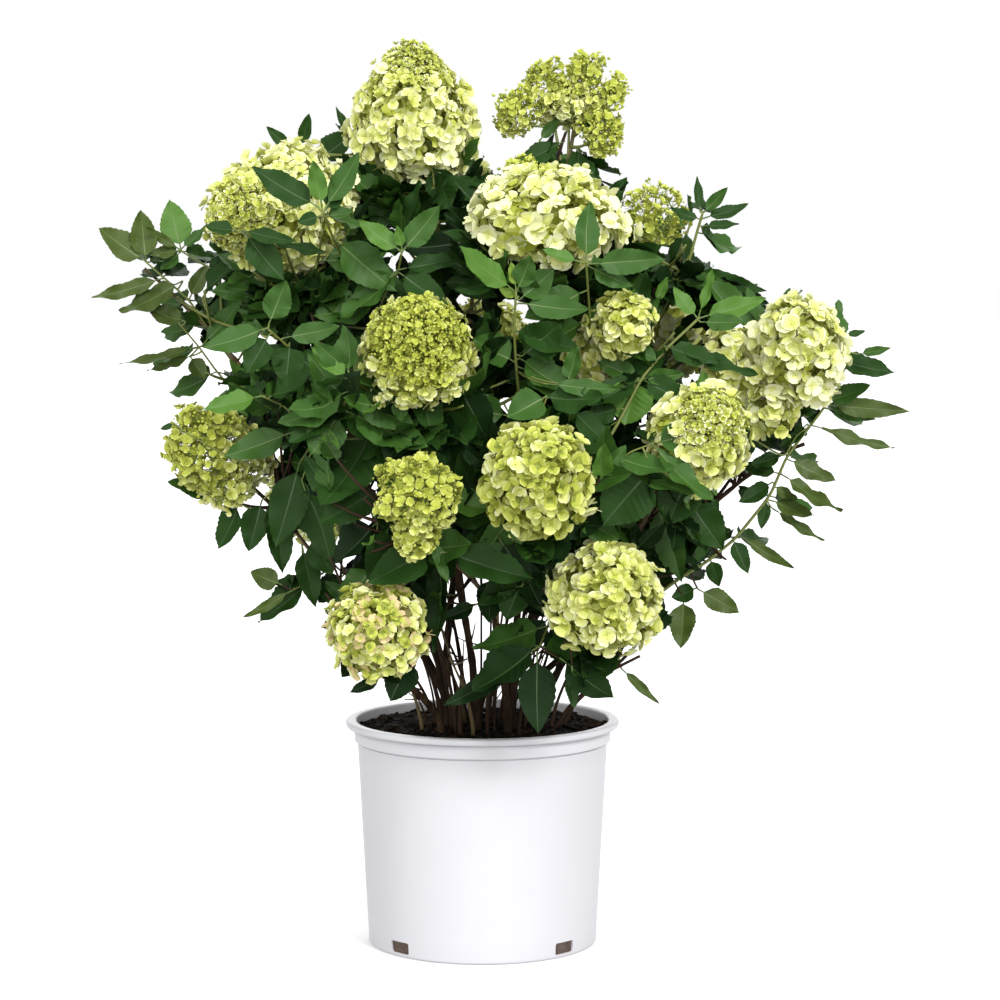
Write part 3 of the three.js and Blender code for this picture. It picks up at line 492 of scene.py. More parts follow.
def in_outline(points):
    """True for each point that shows inside the outline of the leafy crown."""
    across, down = frame_places(points)
    corners = np.array(CROWN_OUTLINE, float)
    after = np.roll(corners, -1, axis=0)
    crosses = (corners[:, 1] > down[..., None]) != (after[:, 1] > down[..., None])
    rise = np.where(after[:, 1] == corners[:, 1], 1, after[:, 1] - corners[:, 1])
    meets = corners[:, 0] + (down[..., None] - corners[:, 1]) / rise * (after[:, 0] - corners[:, 0])
    return ((crosses & (across[..., None] < meets)).sum(axis=-1) % 2) == 1


def unit(vectors):
    vectors = np.asarray(vectors, float)
    return vectors / np.maximum(np.linalg.norm(vectors, axis=-1, keepdims=True), 1e-9)


def lerp(start, end, share):
    return start + (end - start) * share


def turned(vectors, axes, angles):
    """Vectors turned about unit axes by angles."""
    angles = np.asarray(angles)[..., None]
    along = np.sum(vectors * axes, axis=-1, keepdims=True)
    square = np.cross(axes, vectors)
    return vectors * np.cos(angles) + square * np.sin(angles) + axes * along * (1 - np.cos(angles))


def square_to(vectors, axes):
    """Unit vectors as near as can be to the given ones, square to the unit axes."""
    return unit(vectors - axes * np.sum(vectors * axes, axis=-1, keepdims=True))


def leaning(axis, side, other, lean, turn):
    """Unit vectors that lean away from an axis by one angle each and are turned about it by another."""
    return (
        axis * np.cos(lean)[:, None]
        + side * (np.sin(lean) * np.cos(turn))[:, None]
        + other * (np.sin(lean) * np.sin(turn))[:, None]
    )


def turns(count):
    """Angles spread evenly over a full turn."""
    return np.arange(count) * 2 * math.pi / count


def chance(*keys):
    """A number from 0 to 1 that only its keys decide, so that every draw can be made again by itself."""
    hashed = 2166136261
    for key in keys:
        hashed = ((hashed ^ (key & 0xFFFFFFFF)) * 16777619) & 0xFFFFFFFF
        hashed ^= hashed >> 13
        hashed = (hashed * 1540483477) & 0xFFFFFFFF
        hashed ^= hashed >> 15
    return hashed / 4294967296


def depth_in_space(points, mass):
    """How deep points lie in a mass's own space: the distance to its nearest shared boundary plane."""
    power = np.sum((points[..., None, :] - SITES) ** 2, axis=-1) - REACHES ** 2
    apart = np.linalg.norm(SITES - SITES[mass], axis=1)
    apart[mass] = np.inf
    depth = (power - power[..., mass:mass + 1]) / (2 * apart)
    depth[..., mass] = np.inf
    return depth.min(axis=-1)


def bezier(points, shares):
    """Points on a Bezier curve of any degree."""
    degree = len(points) - 1
    shares = np.asarray(shares, float)[..., None]
    return sum(
        math.comb(degree, i) * (1 - shares) ** (degree - i) * shares ** i * np.asarray(point, float)
        for i, point in enumerate(points)
    )


def bezier_way(points, share):
    """The direction of a Bezier curve at a share of it."""
    steps = [np.asarray(b, float) - np.asarray(a, float) for a, b in zip(points, points[1:])]
    return unit(bezier(steps, share))


def curve_length(points):
    return np.linalg.norm(np.diff(bezier(points, np.linspace(0, 1, 33)), axis=0), axis=1).sum()


# Meshes: each maker returns vertices in millimetres and faces, which a piece then collects

def linked(name, data):
    """A new object with its data, in the scene."""
    made = bpy.data.objects.new(name, data)
    bpy.context.scene.collection.objects.link(made)
    return made


class Pile:
    """Vertices and faces that will become one piece, with a material number for each face."""

    def __init__(self):
        self.vertices = []
        self.faces = []
        self.materials = []
        self.smooth = []
        self.count = 0

    def add(self, vertices, faces, material=0, smooth=True):
        vertices = np.asarray(vertices, float).reshape(-1, 3)
        faces = np.asarray(faces, int)
        self.vertices.append(vertices)
        self.faces.append(faces + self.count)
        self.materials.append(np.broadcast_to(np.asarray(material, int), (len(faces),)))
        self.smooth.append(np.full(len(faces), smooth))
        self.count += len(vertices)

    def add_copies(self, vertices, faces, material=0, smooth=True):
        """Copies of one form: vertices (copies, corners, 3), and its faces once."""
        copies, corners, _ = vertices.shape
        every = faces[None] + corners * np.arange(copies)[:, None, None]
        material = np.broadcast_to(np.asarray(material, int), (copies, len(faces))).reshape(-1)
        self.add(vertices.reshape(-1, 3), every.reshape(-1, faces.shape[1]), material, smooth)

    def add_closed(self, vertices, walls, ends, material=0, end_material=0, smooth_ends=False):
        """A form with smooth walls and, as faces of another size, the ends that close it."""
        self.add(vertices, walls, material)
        self.faces.append(ends + self.count - len(vertices))
        self.materials.append(np.full(len(ends), end_material))
        self.smooth.append(np.full(len(ends), smooth_ends))

    def piece(self, name, materials, slot, replaced=()):
        """The object that the pile makes up, which hides the nodes it replaces. Its slot is not used."""
        mesh = bpy.data.meshes.new(name)
        vertices = np.concatenate(self.vertices) * MM
        mesh.vertices.add(len(vertices))
        mesh.vertices.foreach_set("co", vertices.astype(np.float32).ravel())
        corners = np.concatenate([faces.ravel() for faces in self.faces])
        sizes = np.concatenate([np.full(len(faces), faces.shape[1]) for faces in self.faces])
        starts = np.concatenate(([0], np.cumsum(sizes)[:-1]))
        mesh.loops.add(len(corners))
        mesh.loops.foreach_set("vertex_index", corners.astype(np.int32))
        mesh.polygons.add(len(sizes))
        mesh.polygons.foreach_set("loop_start", starts.astype(np.int32))
        mesh.polygons.foreach_set("material_index", np.concatenate(self.materials).astype(np.int32))
        mesh.polygons.foreach_set("use_smooth", np.concatenate(self.smooth))
        for material in materials:
            mesh.materials.append(material)
        mesh.update(calc_edges=True)
        made = linked(name, mesh)
        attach(made, "root")
        if replaced:
            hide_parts(*replaced)
        return made


def grid_faces(rows, columns, closed=False):
    """The four-sided faces of a grid of corners. A closed grid joins its last column to its first."""
    across = columns if closed else columns - 1
    row, column = np.meshgrid(np.arange(rows - 1), np.arange(across), indexing="ij")
    following = (column + 1) % columns
    faces = np.stack((
        row * columns + column,
        row * columns + following,
        (row + 1) * columns + following,
        (row + 1) * columns + column,
    ), axis=-1)
    return faces.reshape(-1, 4)


def end_fans(rings, sides):
    """The triangles that close the first and last of some rings, round two corners that come after them."""
    around = np.arange(sides)
    after = (around + 1) % sides
    last = (rings - 1) * sides
    middle = np.full(sides, rings * sides)
    return np.concatenate((
        np.stack((after, around, middle), axis=1),
        np.stack((last + around, last + after, middle + 1), axis=1),
    ))


def ring_ways(first, second, angles):
    """Unit vectors all round, between the first and second of two square ones, for each pair of them."""
    return first[:, None] * np.cos(angles)[None, :, None] + second[:, None] * np.sin(angles)[None, :, None]


def tube(points, radii, sides, relief=None):
    """A limb through points, with a radius at each, closed at both ends by a cap."""
    points = np.asarray(points, float)
    ways = unit(np.gradient(points, axis=0))
    normals = [unit(np.cross(ways[0], (0.3, 0.9, 0.1)))]
    for way in ways[1:]:
        normals.append(square_to(normals[-1], way))
    normals = np.array(normals)
    angles = turns(sides)
    radius = np.asarray(radii, float)[:, None] * np.ones(sides)
    if relief is not None:
        radius = radius * relief(len(points), angles)
    ring = ring_ways(normals, np.cross(ways, normals), angles)
    body = (points[:, None] + ring * radius[..., None]).reshape(-1, 3)
    vertices = np.concatenate((body, points[:1], points[-1:]))
    return vertices, grid_faces(len(points), sides, closed=True), end_fans(len(points), sides)


def add_tube(pile, points, radii, sides, material=0, relief=None):
    pile.add_closed(*tube(points, radii, sides, relief), material, material)


def thin_tubes(pile, starts, ends, radii, material=0, sag=0.0):
    """Many thin three-sided stalks, each with one bend at its middle."""
    starts, ends = np.asarray(starts, float), np.asarray(ends, float)
    if not len(starts):
        return
    radii = np.broadcast_to(np.asarray(radii, float), (len(starts),))
    way = unit(ends - starts)
    side = unit(np.cross(way, (0.21, 0.34, 0.92)))
    middle = (starts + ends) / 2 + UP * (sag * np.linalg.norm(ends - starts, axis=1))[:, None]
    ring = ring_ways(side, np.cross(way, side), turns(3))
    rings = [
        point[:, None] + ring * (radii * scale)[:, None, None]
        for point, scale in ((starts, 1.1), (middle, 0.95), (ends, 0.85))
    ]
    pile.add_copies(np.concatenate(rings, axis=1), grid_faces(3, 3, closed=True), material)


# Materials

def colour(red, green, blue):
    """A base colour given as it looks on a screen, from 0 to 255."""
    def linear(value):
        value = value / 255
        return value / 12.92 if value <= 0.04045 else ((value + 0.055) / 1.055) ** 2.4
    return (linear(red), linear(green), linear(blue), 1)


def plain_material(name, base, roughness, specular=0.5):
    material = bpy.data.materials.new(name)
    material.use_nodes = True
    shader = material.node_tree.nodes["Principled BSDF"]
    shader.inputs["Base Color"].default_value = base
    shader.inputs["Roughness"].default_value = roughness
    shader.inputs["Specular IOR Level"].default_value = specular
    return material


def patterned_material(
        name, colours, scale, stretch=(1, 1, 1), roughness=(0.7, 0.9), bump=0.3, depth=0.0004, specular=0.5):
    """A material whose colour, roughness and relief come from noise at the given scale in each metre."""
    colours = [colour(*each) for each in colours]
    material = bpy.data.materials.new(name)
    material.use_nodes = True
    nodes = material.node_tree.nodes
    links = material.node_tree.links
    shader = nodes["Principled BSDF"]
    shader.inputs["Specular IOR Level"].default_value = specular
    place = nodes.new("ShaderNodeTexCoord")
    mapping = nodes.new("ShaderNodeMapping")
    mapping.inputs["Scale"].default_value = stretch
    links.new(place.outputs["Object"], mapping.inputs["Vector"])
    noise = nodes.new("ShaderNodeTexNoise")
    noise.inputs["Scale"].default_value = scale
    noise.inputs["Detail"].default_value = 5
    noise.inputs["Roughness"].default_value = 0.6
    links.new(mapping.outputs["Vector"], noise.inputs["Vector"])
    ramp = nodes.new("ShaderNodeValToRGB")
    elements = ramp.color_ramp.elements
    elements[0].position, elements[0].color = 0.3, colours[0]
    elements[1].position, elements[1].color = 0.7, colours[-1]
    for i, each in enumerate(colours[1:-1]):
        elements.new(0.3 + 0.4 * (i + 1) / (len(colours) - 1)).color = each
    links.new(noise.outputs["Fac"], ramp.inputs["Fac"])
    links.new(ramp.outputs["Color"], shader.inputs["Base Color"])
    rough = nodes.new("ShaderNodeMapRange")
    rough.inputs["To Min"].default_value = roughness[0]
    rough.inputs["To Max"].default_value = roughness[1]
    links.new(noise.outputs["Fac"], rough.inputs["Value"])
    links.new(rough.outputs["Result"], shader.inputs["Roughness"])
    relief = nodes.new("ShaderNodeBump")
    relief.inputs["Strength"].default_value = bump
    relief.inputs["Distance"].default_value = depth
    links.new(noise.outputs["Fac"], relief.inputs["Height"])
    links.new(relief.outputs["Normal"], shader.inputs["Normal"])
    return material


POT_WHITE = patterned_material(
    "pot_white", ((212, 211, 216), (215, 214, 219)), 9,
    roughness=(0.36, 0.42), bump=0.1, depth=0.0001)
# Soil and its chips: very dark brown, darkened further as painted shade from the crown above.
SOIL_DARK_SHADED = patterned_material(
    "soil_dark_shaded", ((6, 5, 4), (16, 12, 9), (36, 27, 20)), 160,
    roughness=(0.85, 1), bump=0.9, depth=0.002, specular=0.1)
# The inside of the pot is a paler white than its outside: painted light on the inner wall, where the crown
# shades it.
POT_INSIDE_PAINTED_LIGHT = patterned_material(
    "pot_inside_painted_light", ((244, 243, 247), (247, 246, 250)), 9,
    roughness=(0.4, 0.46), bump=0.1, depth=0.0001)
SOIL_SIDE = patterned_material(
    "soil_side", ((96, 80, 70), (134, 116, 104)), 120,
    roughness=(0.85, 1), bump=0.6, depth=0.001)
# The chips are darkened like the soil, as painted shade from the crown.
CHIP_BROWN_SHADED = patterned_material(
    "chip_brown_shaded", ((18, 13, 9), (38, 28, 19), (70, 53, 37)), 90,
    roughness=(0.8, 0.95), bump=0.6, depth=0.001, specular=0.1)
CHIP_DARK_SHADED = patterned_material(
    "chip_dark_shaded", ((10, 8, 6), (24, 18, 13)), 90,
    roughness=(0.85, 1), bump=0.6, depth=0.001, specular=0.1)
BARK = patterned_material(
    "bark", ((24, 17, 12), (48, 36, 25), (82, 63, 45)), 120, stretch=(1, 1, 0.16),
    roughness=(0.75, 0.95), bump=0.8, depth=0.0012, specular=0.15)
YOUNG_WOOD = patterned_material(
    "young_wood", ((80, 62, 40), (106, 84, 52), (128, 106, 68)), 70, stretch=(1, 1, 0.2),
    roughness=(0.55, 0.75), bump=0.4, depth=0.0006)

TWIG_TAN = plain_material("twig_tan", colour(96, 82, 48), 0.6)
TWIG_GREEN = plain_material("twig_green", colour(112, 122, 56), 0.5)
TWIG_BROWN = plain_material("twig_brown", colour(58, 42, 30), 0.8, 0.2)

# The twigs of a mass: its main one, the others, and those low in the crown
TWIG_TINTS = [TWIG_TAN, TWIG_GREEN, TWIG_BROWN]
MAIN_TAN, SIDE_GREEN, LOW_BROWN = range(3)

# The greens of the leaves, from the deepest to the youngest, then the ribs. The deepest also serves as
# painted shade on leaves low under the crown and over the pot.
LEAF_TINTS = [
    plain_material(f"leaf_{name}", colour(*base), roughness, specular)
    for name, base, roughness, specular in (
        ("deep", (20, 42, 14), 0.55, 0.12),
        ("dark", (37, 67, 22), 0.55, 0.15),
        ("mid", (56, 92, 32), 0.5, 0.25),
        ("fresh", (82, 122, 45), 0.5, 0.25),
        ("young", (120, 148, 56), 0.5, 0.25),
        ("olive", (74, 92, 38), 0.5, 0.25),
        ("rib", (96, 120, 58), 0.5, 0.5),
        ("rib_dark", (54, 80, 36), 0.5, 0.5),
    )
]

# The tints of the flowers, their buds and their stalks
BLOSSOM_TINTS = [
    plain_material(name, colour(*base), 0.6, 0.3)
    for name, base in (
        ("blossom_white", (238, 240, 192)),
        ("blossom_cream", (224, 227, 144)),
        ("blossom_pale_lime", (206, 212, 116)),
        ("blossom_lime", (182, 190, 76)),
        ("blossom_green", (138, 150, 56)),
        ("blossom_pink", (224, 204, 152)),
        ("bud_green", (146, 160, 58)),
        ("bud_yellow", (204, 210, 92)),
        ("stalk_green", (150, 160, 74)),
    )
]
WHITE, CREAM, PALE_LIME, LIME, GREEN, PINK, BUD_GREEN, BUD_YELLOW, STALK = range(9)


# The pot: a tapered shell with a collar, a rolled lip and drain slots low in its wall

LIP_BOTTOM = POT_HEIGHT - LIP_HEIGHT
COLLAR_BOTTOM = LIP_BOTTOM - COLLAR_HEIGHT


def inner_radius(height):
    return lerp(BASE_RADIUS, BODY_TOP_RADIUS, height / COLLAR_BOTTOM) - WALL


def arc(centre, radius, start, end, steps):
    """Points round a corner, from one angle in degrees to another."""
    return [
        (
            centre[0] + radius * math.cos(math.radians(lerp(start, end, i / steps))),
            centre[1] + radius * math.sin(math.radians(lerp(start, end, i / steps))),
        )
        for i in range(steps + 1)
    ]


def pot_profile():
    """The pot's section: radius and height from the middle of its underside, round its lip, to its floor."""
    foot = 3
    lip = 2.6
    collar = 1.6
    body_top = COLLAR_BOTTOM - 1
    inner_heights = [lerp(COLLAR_BOTTOM, FLOOR, i / 6) for i in range(7)]
    outside = [
        (0, 0.8),
        (BASE_RADIUS * 0.55, 0.8),
        (BASE_RADIUS - 12, 0.8),
        (BASE_RADIUS - 9, 0),
        *arc((BASE_RADIUS - foot, foot), foot, -90, 0, 5),
        *[(lerp(BASE_RADIUS, BODY_TOP_RADIUS, i / 10), lerp(foot, body_top, i / 10)) for i in range(1, 11)],
        (BODY_TOP_RADIUS + 0.5, COLLAR_BOTTOM),
        (BODY_TOP_RADIUS - 0.4, COLLAR_BOTTOM + 0.4),
        (BODY_TOP_RADIUS - 0.4, COLLAR_BOTTOM + 1.2),
        (COLLAR_RADIUS - collar, COLLAR_BOTTOM + COLLAR_STEP - collar),
        *arc((COLLAR_RADIUS - collar, COLLAR_BOTTOM + COLLAR_STEP), collar, -60, 0, 3),
        (COLLAR_RADIUS, LIP_BOTTOM - 1.6),
        (COLLAR_RADIUS - 0.9, LIP_BOTTOM - 1.2),
        (COLLAR_RADIUS - 0.9, LIP_BOTTOM),
        (RIM_RADIUS - lip, LIP_BOTTOM),
        *arc((RIM_RADIUS - lip, LIP_BOTTOM + lip), lip, -80, 0, 4),
        *arc((RIM_RADIUS - lip, POT_HEIGHT - lip), lip, 0, 90, 5),
    ]
    inside = [
        *arc((COLLAR_RADIUS - WALL + lip, POT_HEIGHT - lip), lip, 90, 180, 5),
        (COLLAR_RADIUS - WALL, COLLAR_BOTTOM + COLLAR_STEP + 1),
        *[(inner_radius(height), height) for height in inner_heights],
        (0, FLOOR),
    ]
    return outside + inside


def level_ring(radius, height, angles):
    """Corners at one height, round the axis."""
    return np.stack((radius * np.cos(angles), radius * np.sin(angles), np.full(len(angles), height)), axis=1)


def lathe(profile, sides):
    """A turned solid. The first and last points of its profile lie on the axis."""
    rings = np.array([level_ring(radius, height, turns(sides)) for radius, height in profile[1:-1]])
    vertices = np.concatenate((rings.reshape(-1, 3), ((0, 0, profile[0][1]), (0, 0, profile[-1][1]))))
    return vertices, grid_faces(len(rings), sides, closed=True), end_fans(len(rings), sides)


def cut_slots(made):
    """The drain slots, cut by boxes with rounded corners through the wall, low down."""
    half = SLOT_WIDTH / 2 - SLOT_CORNER
    rise = (SLOT_TOP - SLOT_BOTTOM) / 2 - SLOT_CORNER
    outline = []
    for i, (across, above) in enumerate(((half, rise), (-half, rise), (-half, -rise), (half, -rise))):
        outline += arc((across, above), SLOT_CORNER, 90 * i, 90 * (i + 1), 3)
    middle = np.array((0, -BASE_RADIUS, (SLOT_TOP + SLOT_BOTTOM) / 2))
    front = [middle + (x, -SLOT_DEPTH / 2, z) for x, z in outline]
    back = [middle + (x, SLOT_DEPTH / 2, z) for x, z in outline]
    count = len(outline)
    faces = [tuple(range(count)), tuple(range(2 * count - 1, count - 1, -1))]
    faces += [(j, count + j, count + (j + 1) % count, (j + 1) % count) for j in range(count)]
    for i in range(SLOT_COUNT):
        bearing = (i + 0.5) * 2 * math.pi / SLOT_COUNT
        points = turned(np.array(front + back), UP, bearing)
        mesh = bpy.data.meshes.new("slot_cutter")
        mesh.from_pydata((points * MM).tolist(), [], faces)
        cutter = linked("slot_cutter", mesh)
        cut = made.modifiers.new("slot", "BOOLEAN")
        cut.operation = "DIFFERENCE"
        cut.solver = "EXACT"
        cut.object = cutter
        bpy.context.view_layer.update()
        result = bpy.data.meshes.new_from_object(made.evaluated_get(bpy.context.evaluated_depsgraph_get()))
        made.modifiers.clear()
        made.data = result
        bpy.data.objects.remove(cutter)


def make_pot():
    pile = Pile()
    vertices, walls, ends = lathe(pot_profile(), POT_SIDES)
    # The faces inside the rim take the paler white, painted light on the inner wall.
    middle = vertices[walls].mean(axis=1)
    inside = np.hypot(middle[:, 0], middle[:, 1]) < COLLAR_RADIUS - WALL / 2
    inside &= middle[:, 2] > COLLAR_BOTTOM + COLLAR_STEP
    pile.add_closed(vertices, walls, ends, inside.astype(int))
    made = pile.piece("pot_shell", [POT_WHITE, POT_INSIDE_PAINTED_LIGHT], "pot_plastic", ["pot"])
    cut_slots(made)
    split = made.modifiers.new("edges", "EDGE_SPLIT")
    split.split_angle = SHARP_EDGE


# The soil: crumbly, level under the stems and falling to the wall, with chips of bark on it

SOIL_RADIUS = COLLAR_RADIUS - WALL - GAP
SOIL_SUNK = 1.5
CHIP_SEED = 11


def soil_height(x, y):
    radius = np.hypot(x, y)
    fall = np.clip((radius - SOIL_FLAT_RADIUS) / (SOIL_RADIUS - SOIL_FLAT_RADIUS), 0, 1)
    level = np.where(radius < SOIL_FLAT_RADIUS, SOIL_TOP, lerp(SOIL_TOP, SOIL_EDGE, fall))
    lumps = np.zeros_like(x)
    for i, (size, rise) in enumerate(((31, 1.5), (13, 1.1), (6.5, 0.9), (3.4, 0.6))):
        for j in range(3):
            bearing = chance(i, j, 71) * math.pi
            across = (x * math.cos(bearing) + y * math.sin(bearing)) / size
            beside = (y * math.cos(bearing) - x * math.sin(bearing)) / (size * 1.7)
            wave = np.sin(2 * math.pi * (across + chance(i, j, 72)))
            lumps += rise / 3 * wave * np.cos(2 * math.pi * beside + j)
    return level + lumps - SOIL_SUNK


def make_soil():
    pile = Pile()
    radii = SOIL_RADIUS * np.linspace(0, 1, SOIL_RINGS + 1)[1:]
    angles = turns(SOIL_SPOKES)
    x = radii[:, None] * np.cos(angles)
    y = radii[:, None] * np.sin(angles)
    top = np.stack((x, y, soil_height(x, y)), axis=-1)
    middle = np.array(((0, 0, soil_height(np.zeros(1), np.zeros(1))[0]),))
    bottom = FLOOR + GAP
    sides = [
        level_ring(radius, height, angles) for radius, height in (
            (SOIL_RADIUS, COLLAR_BOTTOM + COLLAR_STEP + 1 + GAP),
            (inner_radius(COLLAR_BOTTOM) - GAP, COLLAR_BOTTOM),
            (inner_radius(bottom) - GAP, bottom),
        )
    ]
    rings = np.concatenate((top, np.array(sides)))
    vertices = np.concatenate((rings.reshape(-1, 3), middle, ((0, 0, bottom),)))
    walls = grid_faces(len(rings), SOIL_SPOKES, closed=True)[:, ::-1]
    ends = end_fans(len(rings), SOIL_SPOKES)[:, (1, 0, 2)]
    on_side = np.arange(len(walls)) >= SOIL_RINGS * SOIL_SPOKES
    pile.add_closed(vertices, walls, ends, on_side.astype(int), smooth_ends=True)
    pile.piece("soil_bed", [SOIL_DARK_SHADED, SOIL_SIDE], "potting_mix", ["soil"])


def make_chips():
    """Chips of bark and crumbs, each a flat block with uneven corners."""
    random = np.random.default_rng(CHIP_SEED)
    pile = Pile()
    bearings = random.uniform(0, 2 * math.pi, CHIP_COUNT)
    radius = (SOIL_RADIUS - 4) * np.sqrt(random.uniform(0, 1, CHIP_COUNT))
    x, y = radius * np.cos(bearings), radius * np.sin(bearings)
    size = random.uniform(1.2, 3.6, CHIP_COUNT) * np.where(random.uniform(size=CHIP_COUNT) < 0.12, 1.8, 1)
    half = np.stack((size * random.uniform(0.9, 1.8, CHIP_COUNT), size * 0.6, size * 0.32), axis=1)
    corners = np.array([(i, j, k) for k in (-1, 1) for j in (-1, 1) for i in (-1, 1)], float)
    uneven = random.uniform(0.55, 1.15, (CHIP_COUNT, 8, 3))
    block = corners[None] * uneven * half[:, None]
    tilt = random.uniform(-0.4, 0.4, CHIP_COUNT)
    way = unit(np.stack((np.cos(3 * bearings), np.sin(3 * bearings), tilt), axis=1))
    face = square_to(UP + random.normal(0, 0.35, (CHIP_COUNT, 3)), way)
    across = np.cross(face, way)
    middle = np.stack((x, y, soil_height(x, y) + 0.4), axis=1)
    points = (
        middle[:, None]
        + block[..., :1] * way[:, None]
        + block[..., 1:2] * across[:, None]
        + block[..., 2:] * face[:, None]
    )
    faces = np.array(((0, 2, 3, 1), (4, 5, 7, 6), (0, 1, 5, 4), (2, 6, 7, 3), (0, 4, 6, 2), (1, 3, 7, 5)))
    tint = (random.uniform(size=CHIP_COUNT) < 0.45).astype(int)
    pile.add_copies(points, faces, np.repeat(tint[:, None], 6, axis=1), smooth=False)
    pile.piece("soil_chips", [CHIP_DARK_SHADED, CHIP_BROWN_SHADED], "potting_mix")


# Stems and boughs, with the relief of their bark

limb_points = []
limb_radii = []
bough_ends = {}
bough_curves = {}


def keep_limb(curve, radii, spacing=5):
    """Notes where a limb runs, so that the leaves and twigs keep clear of it."""
    count = math.ceil(curve_length(curve) / spacing)
    shares = np.linspace(0, 1, count + 1)
    limb_points.extend(bezier(curve, shares))
    limb_radii.extend(lerp(radii[0], radii[1], shares))


def bark_relief(seed, ridge, swell_rows):
    """Furrows that run along a limb and wander, and a slight swelling at each old leaf scar."""
    def relief(rows, angles):
        along = np.arange(rows)[:, None]
        out = np.ones((rows, len(angles)))
        for i in range(5):
            waves = 2 + i
            drift = np.sin(along * (0.05 + 0.04 * chance(seed, i)) + ANY_TURN * chance(seed, i, 2)) * 1.4
            around = np.sin(waves * angles[None] + drift + ANY_TURN * chance(seed, i, 3))
            out += ridge / (1 + 0.4 * i) * around * np.cos(along * (0.17 + 0.2 * chance(seed, i, 4)) + i)
        phase = (along + rows * chance(seed, 9)) % swell_rows
        out += 0.14 * np.exp(-((phase - swell_rows / 2) / 1.6) ** 2)
        return out
    return relief


def entry_of(mass, fork):
    """Where a bough meets its mass: on the line to the mass's middle, a reach away, inside its space."""
    inward = fork - SITES[mass]
    distance = np.linalg.norm(inward)
    inward = inward / distance
    away = min(REACHES[mass] * ENTRY_REACH, distance * ENTRY_SHARE)
    while away > 0 and depth_in_space(SITES[mass] + inward * away, mass) < ENTRY_DEPTH:
        away -= GAP
    return SITES[mass] + inward * away


# How limbs look: their radii, sides, the distance between their rings, their material and its slot
STEM_LOOK = (STEM_BARK_RADIUS, 16, 3.6, BARK, "bark")
BOUGH_LOOK = (BOUGH_RADIUS, 10, 4, YOUNG_WOOD, "young_wood")
BARK_RIDGE = 0.045
SCAR_GAP = 46
BOUGH_SEED = 20


def limb_piece(name, curve, look, node, flare, seed):
    """A stem or bough with furrowed bark, in place of its node."""
    radii, sides, ring_gap, material, slot = look
    rows = math.ceil(curve_length(curve) / ring_gap) + 1
    shares = np.linspace(0, 1, rows)
    radius = lerp(radii[0], radii[1], shares) * (1 + flare * np.exp(-shares / FLARE_SHARE))
    pile = Pile()
    relief = bark_relief(seed, BARK_RIDGE, max(10, int(SCAR_GAP / ring_gap)))
    add_tube(pile, bezier(curve, shares), radius, sides, 0, relief)
    pile.piece(name, [material], slot, [node])


def grow_stems():
    bearings = []
    for names in STEMS:
        middle = sum(SITES[MASS_NAMES.index(name)] for name in names)
        bearings.append(math.atan2(middle[1], middle[0]))
    order = sorted(range(len(STEMS)), key=lambda i: bearings[i])
    for i, names in enumerate(STEMS):
        turn = order.index(i)
        bearing = -math.pi + (turn + 0.5) * 2 * math.pi / len(STEMS)
        radius = STEM_BASE_RADII[turn % len(STEM_BASE_RADII)]
        foot = np.array((radius * math.cos(bearing), radius * math.sin(bearing), SOIL_TOP + GAP))
        masses = [MASS_NAMES.index(name) for name in names]
        middle = SITES[masses].mean(axis=0)
        lowest = SITES[masses][:, 2].min()
        fork = np.array((
            lerp(foot[0], middle[0], FORK_SPREAD),
            lerp(foot[1], middle[1], FORK_SPREAD),
            lerp(SOIL_TOP, lowest, FORK_SHARE),
        ))
        lean = unit(unit(middle - fork) + UP)
        rise = fork[2] - foot[2]
        stem = (foot, foot + UP * rise * 0.4, fork - lean * rise * 0.35, fork)
        grown = (foot - UP * FOOT_SUNK, *stem[1:])
        limb_piece(f"stem_bark_{i + 1}", grown, STEM_LOOK, f"stem_{i + 1}", BARK_FLARE, i)
        keep_limb(stem, STEM_RADIUS)
        apart = square_to(SITES[masses[0]] - SITES[masses[1]], lean)
        for side, mass in enumerate(masses):
            offset = (1 if side == 0 else -1) * (BOUGH_RADIUS[0] + GAP)
            start = fork + lean * GAP + apart * offset
            entry = entry_of(mass, fork)
            reach = np.linalg.norm(entry - start)
            aim = unit(SITES[mass] - entry)
            curve = (start, start + lean * reach * 0.3, entry - aim * reach * 0.35, entry)
            # Each bough starts inside the head of its stem, so that the fork looks grown together
            inside = (start - lean * 7 - apart * offset * 0.5, *curve[1:])
            name = names[side]
            limb_piece(f"bough_wood_{name}", inside, BOUGH_LOOK, f"bough_{name}", 0, BOUGH_SEED + mass)
            keep_limb(curve, BOUGH_RADIUS)
            bough_ends[name] = (entry, aim)
            bough_curves[name] = curve


# Thin shoots and dead twigs that rise among the stems

SHOOT_COUNT = 34
SHOOT_FOOT_RADII = (12, 74)
SHOOT_HEIGHTS = (70, 210)
SHOOT_RADII = (1, 2.3)
SHOOT_SEED = 5


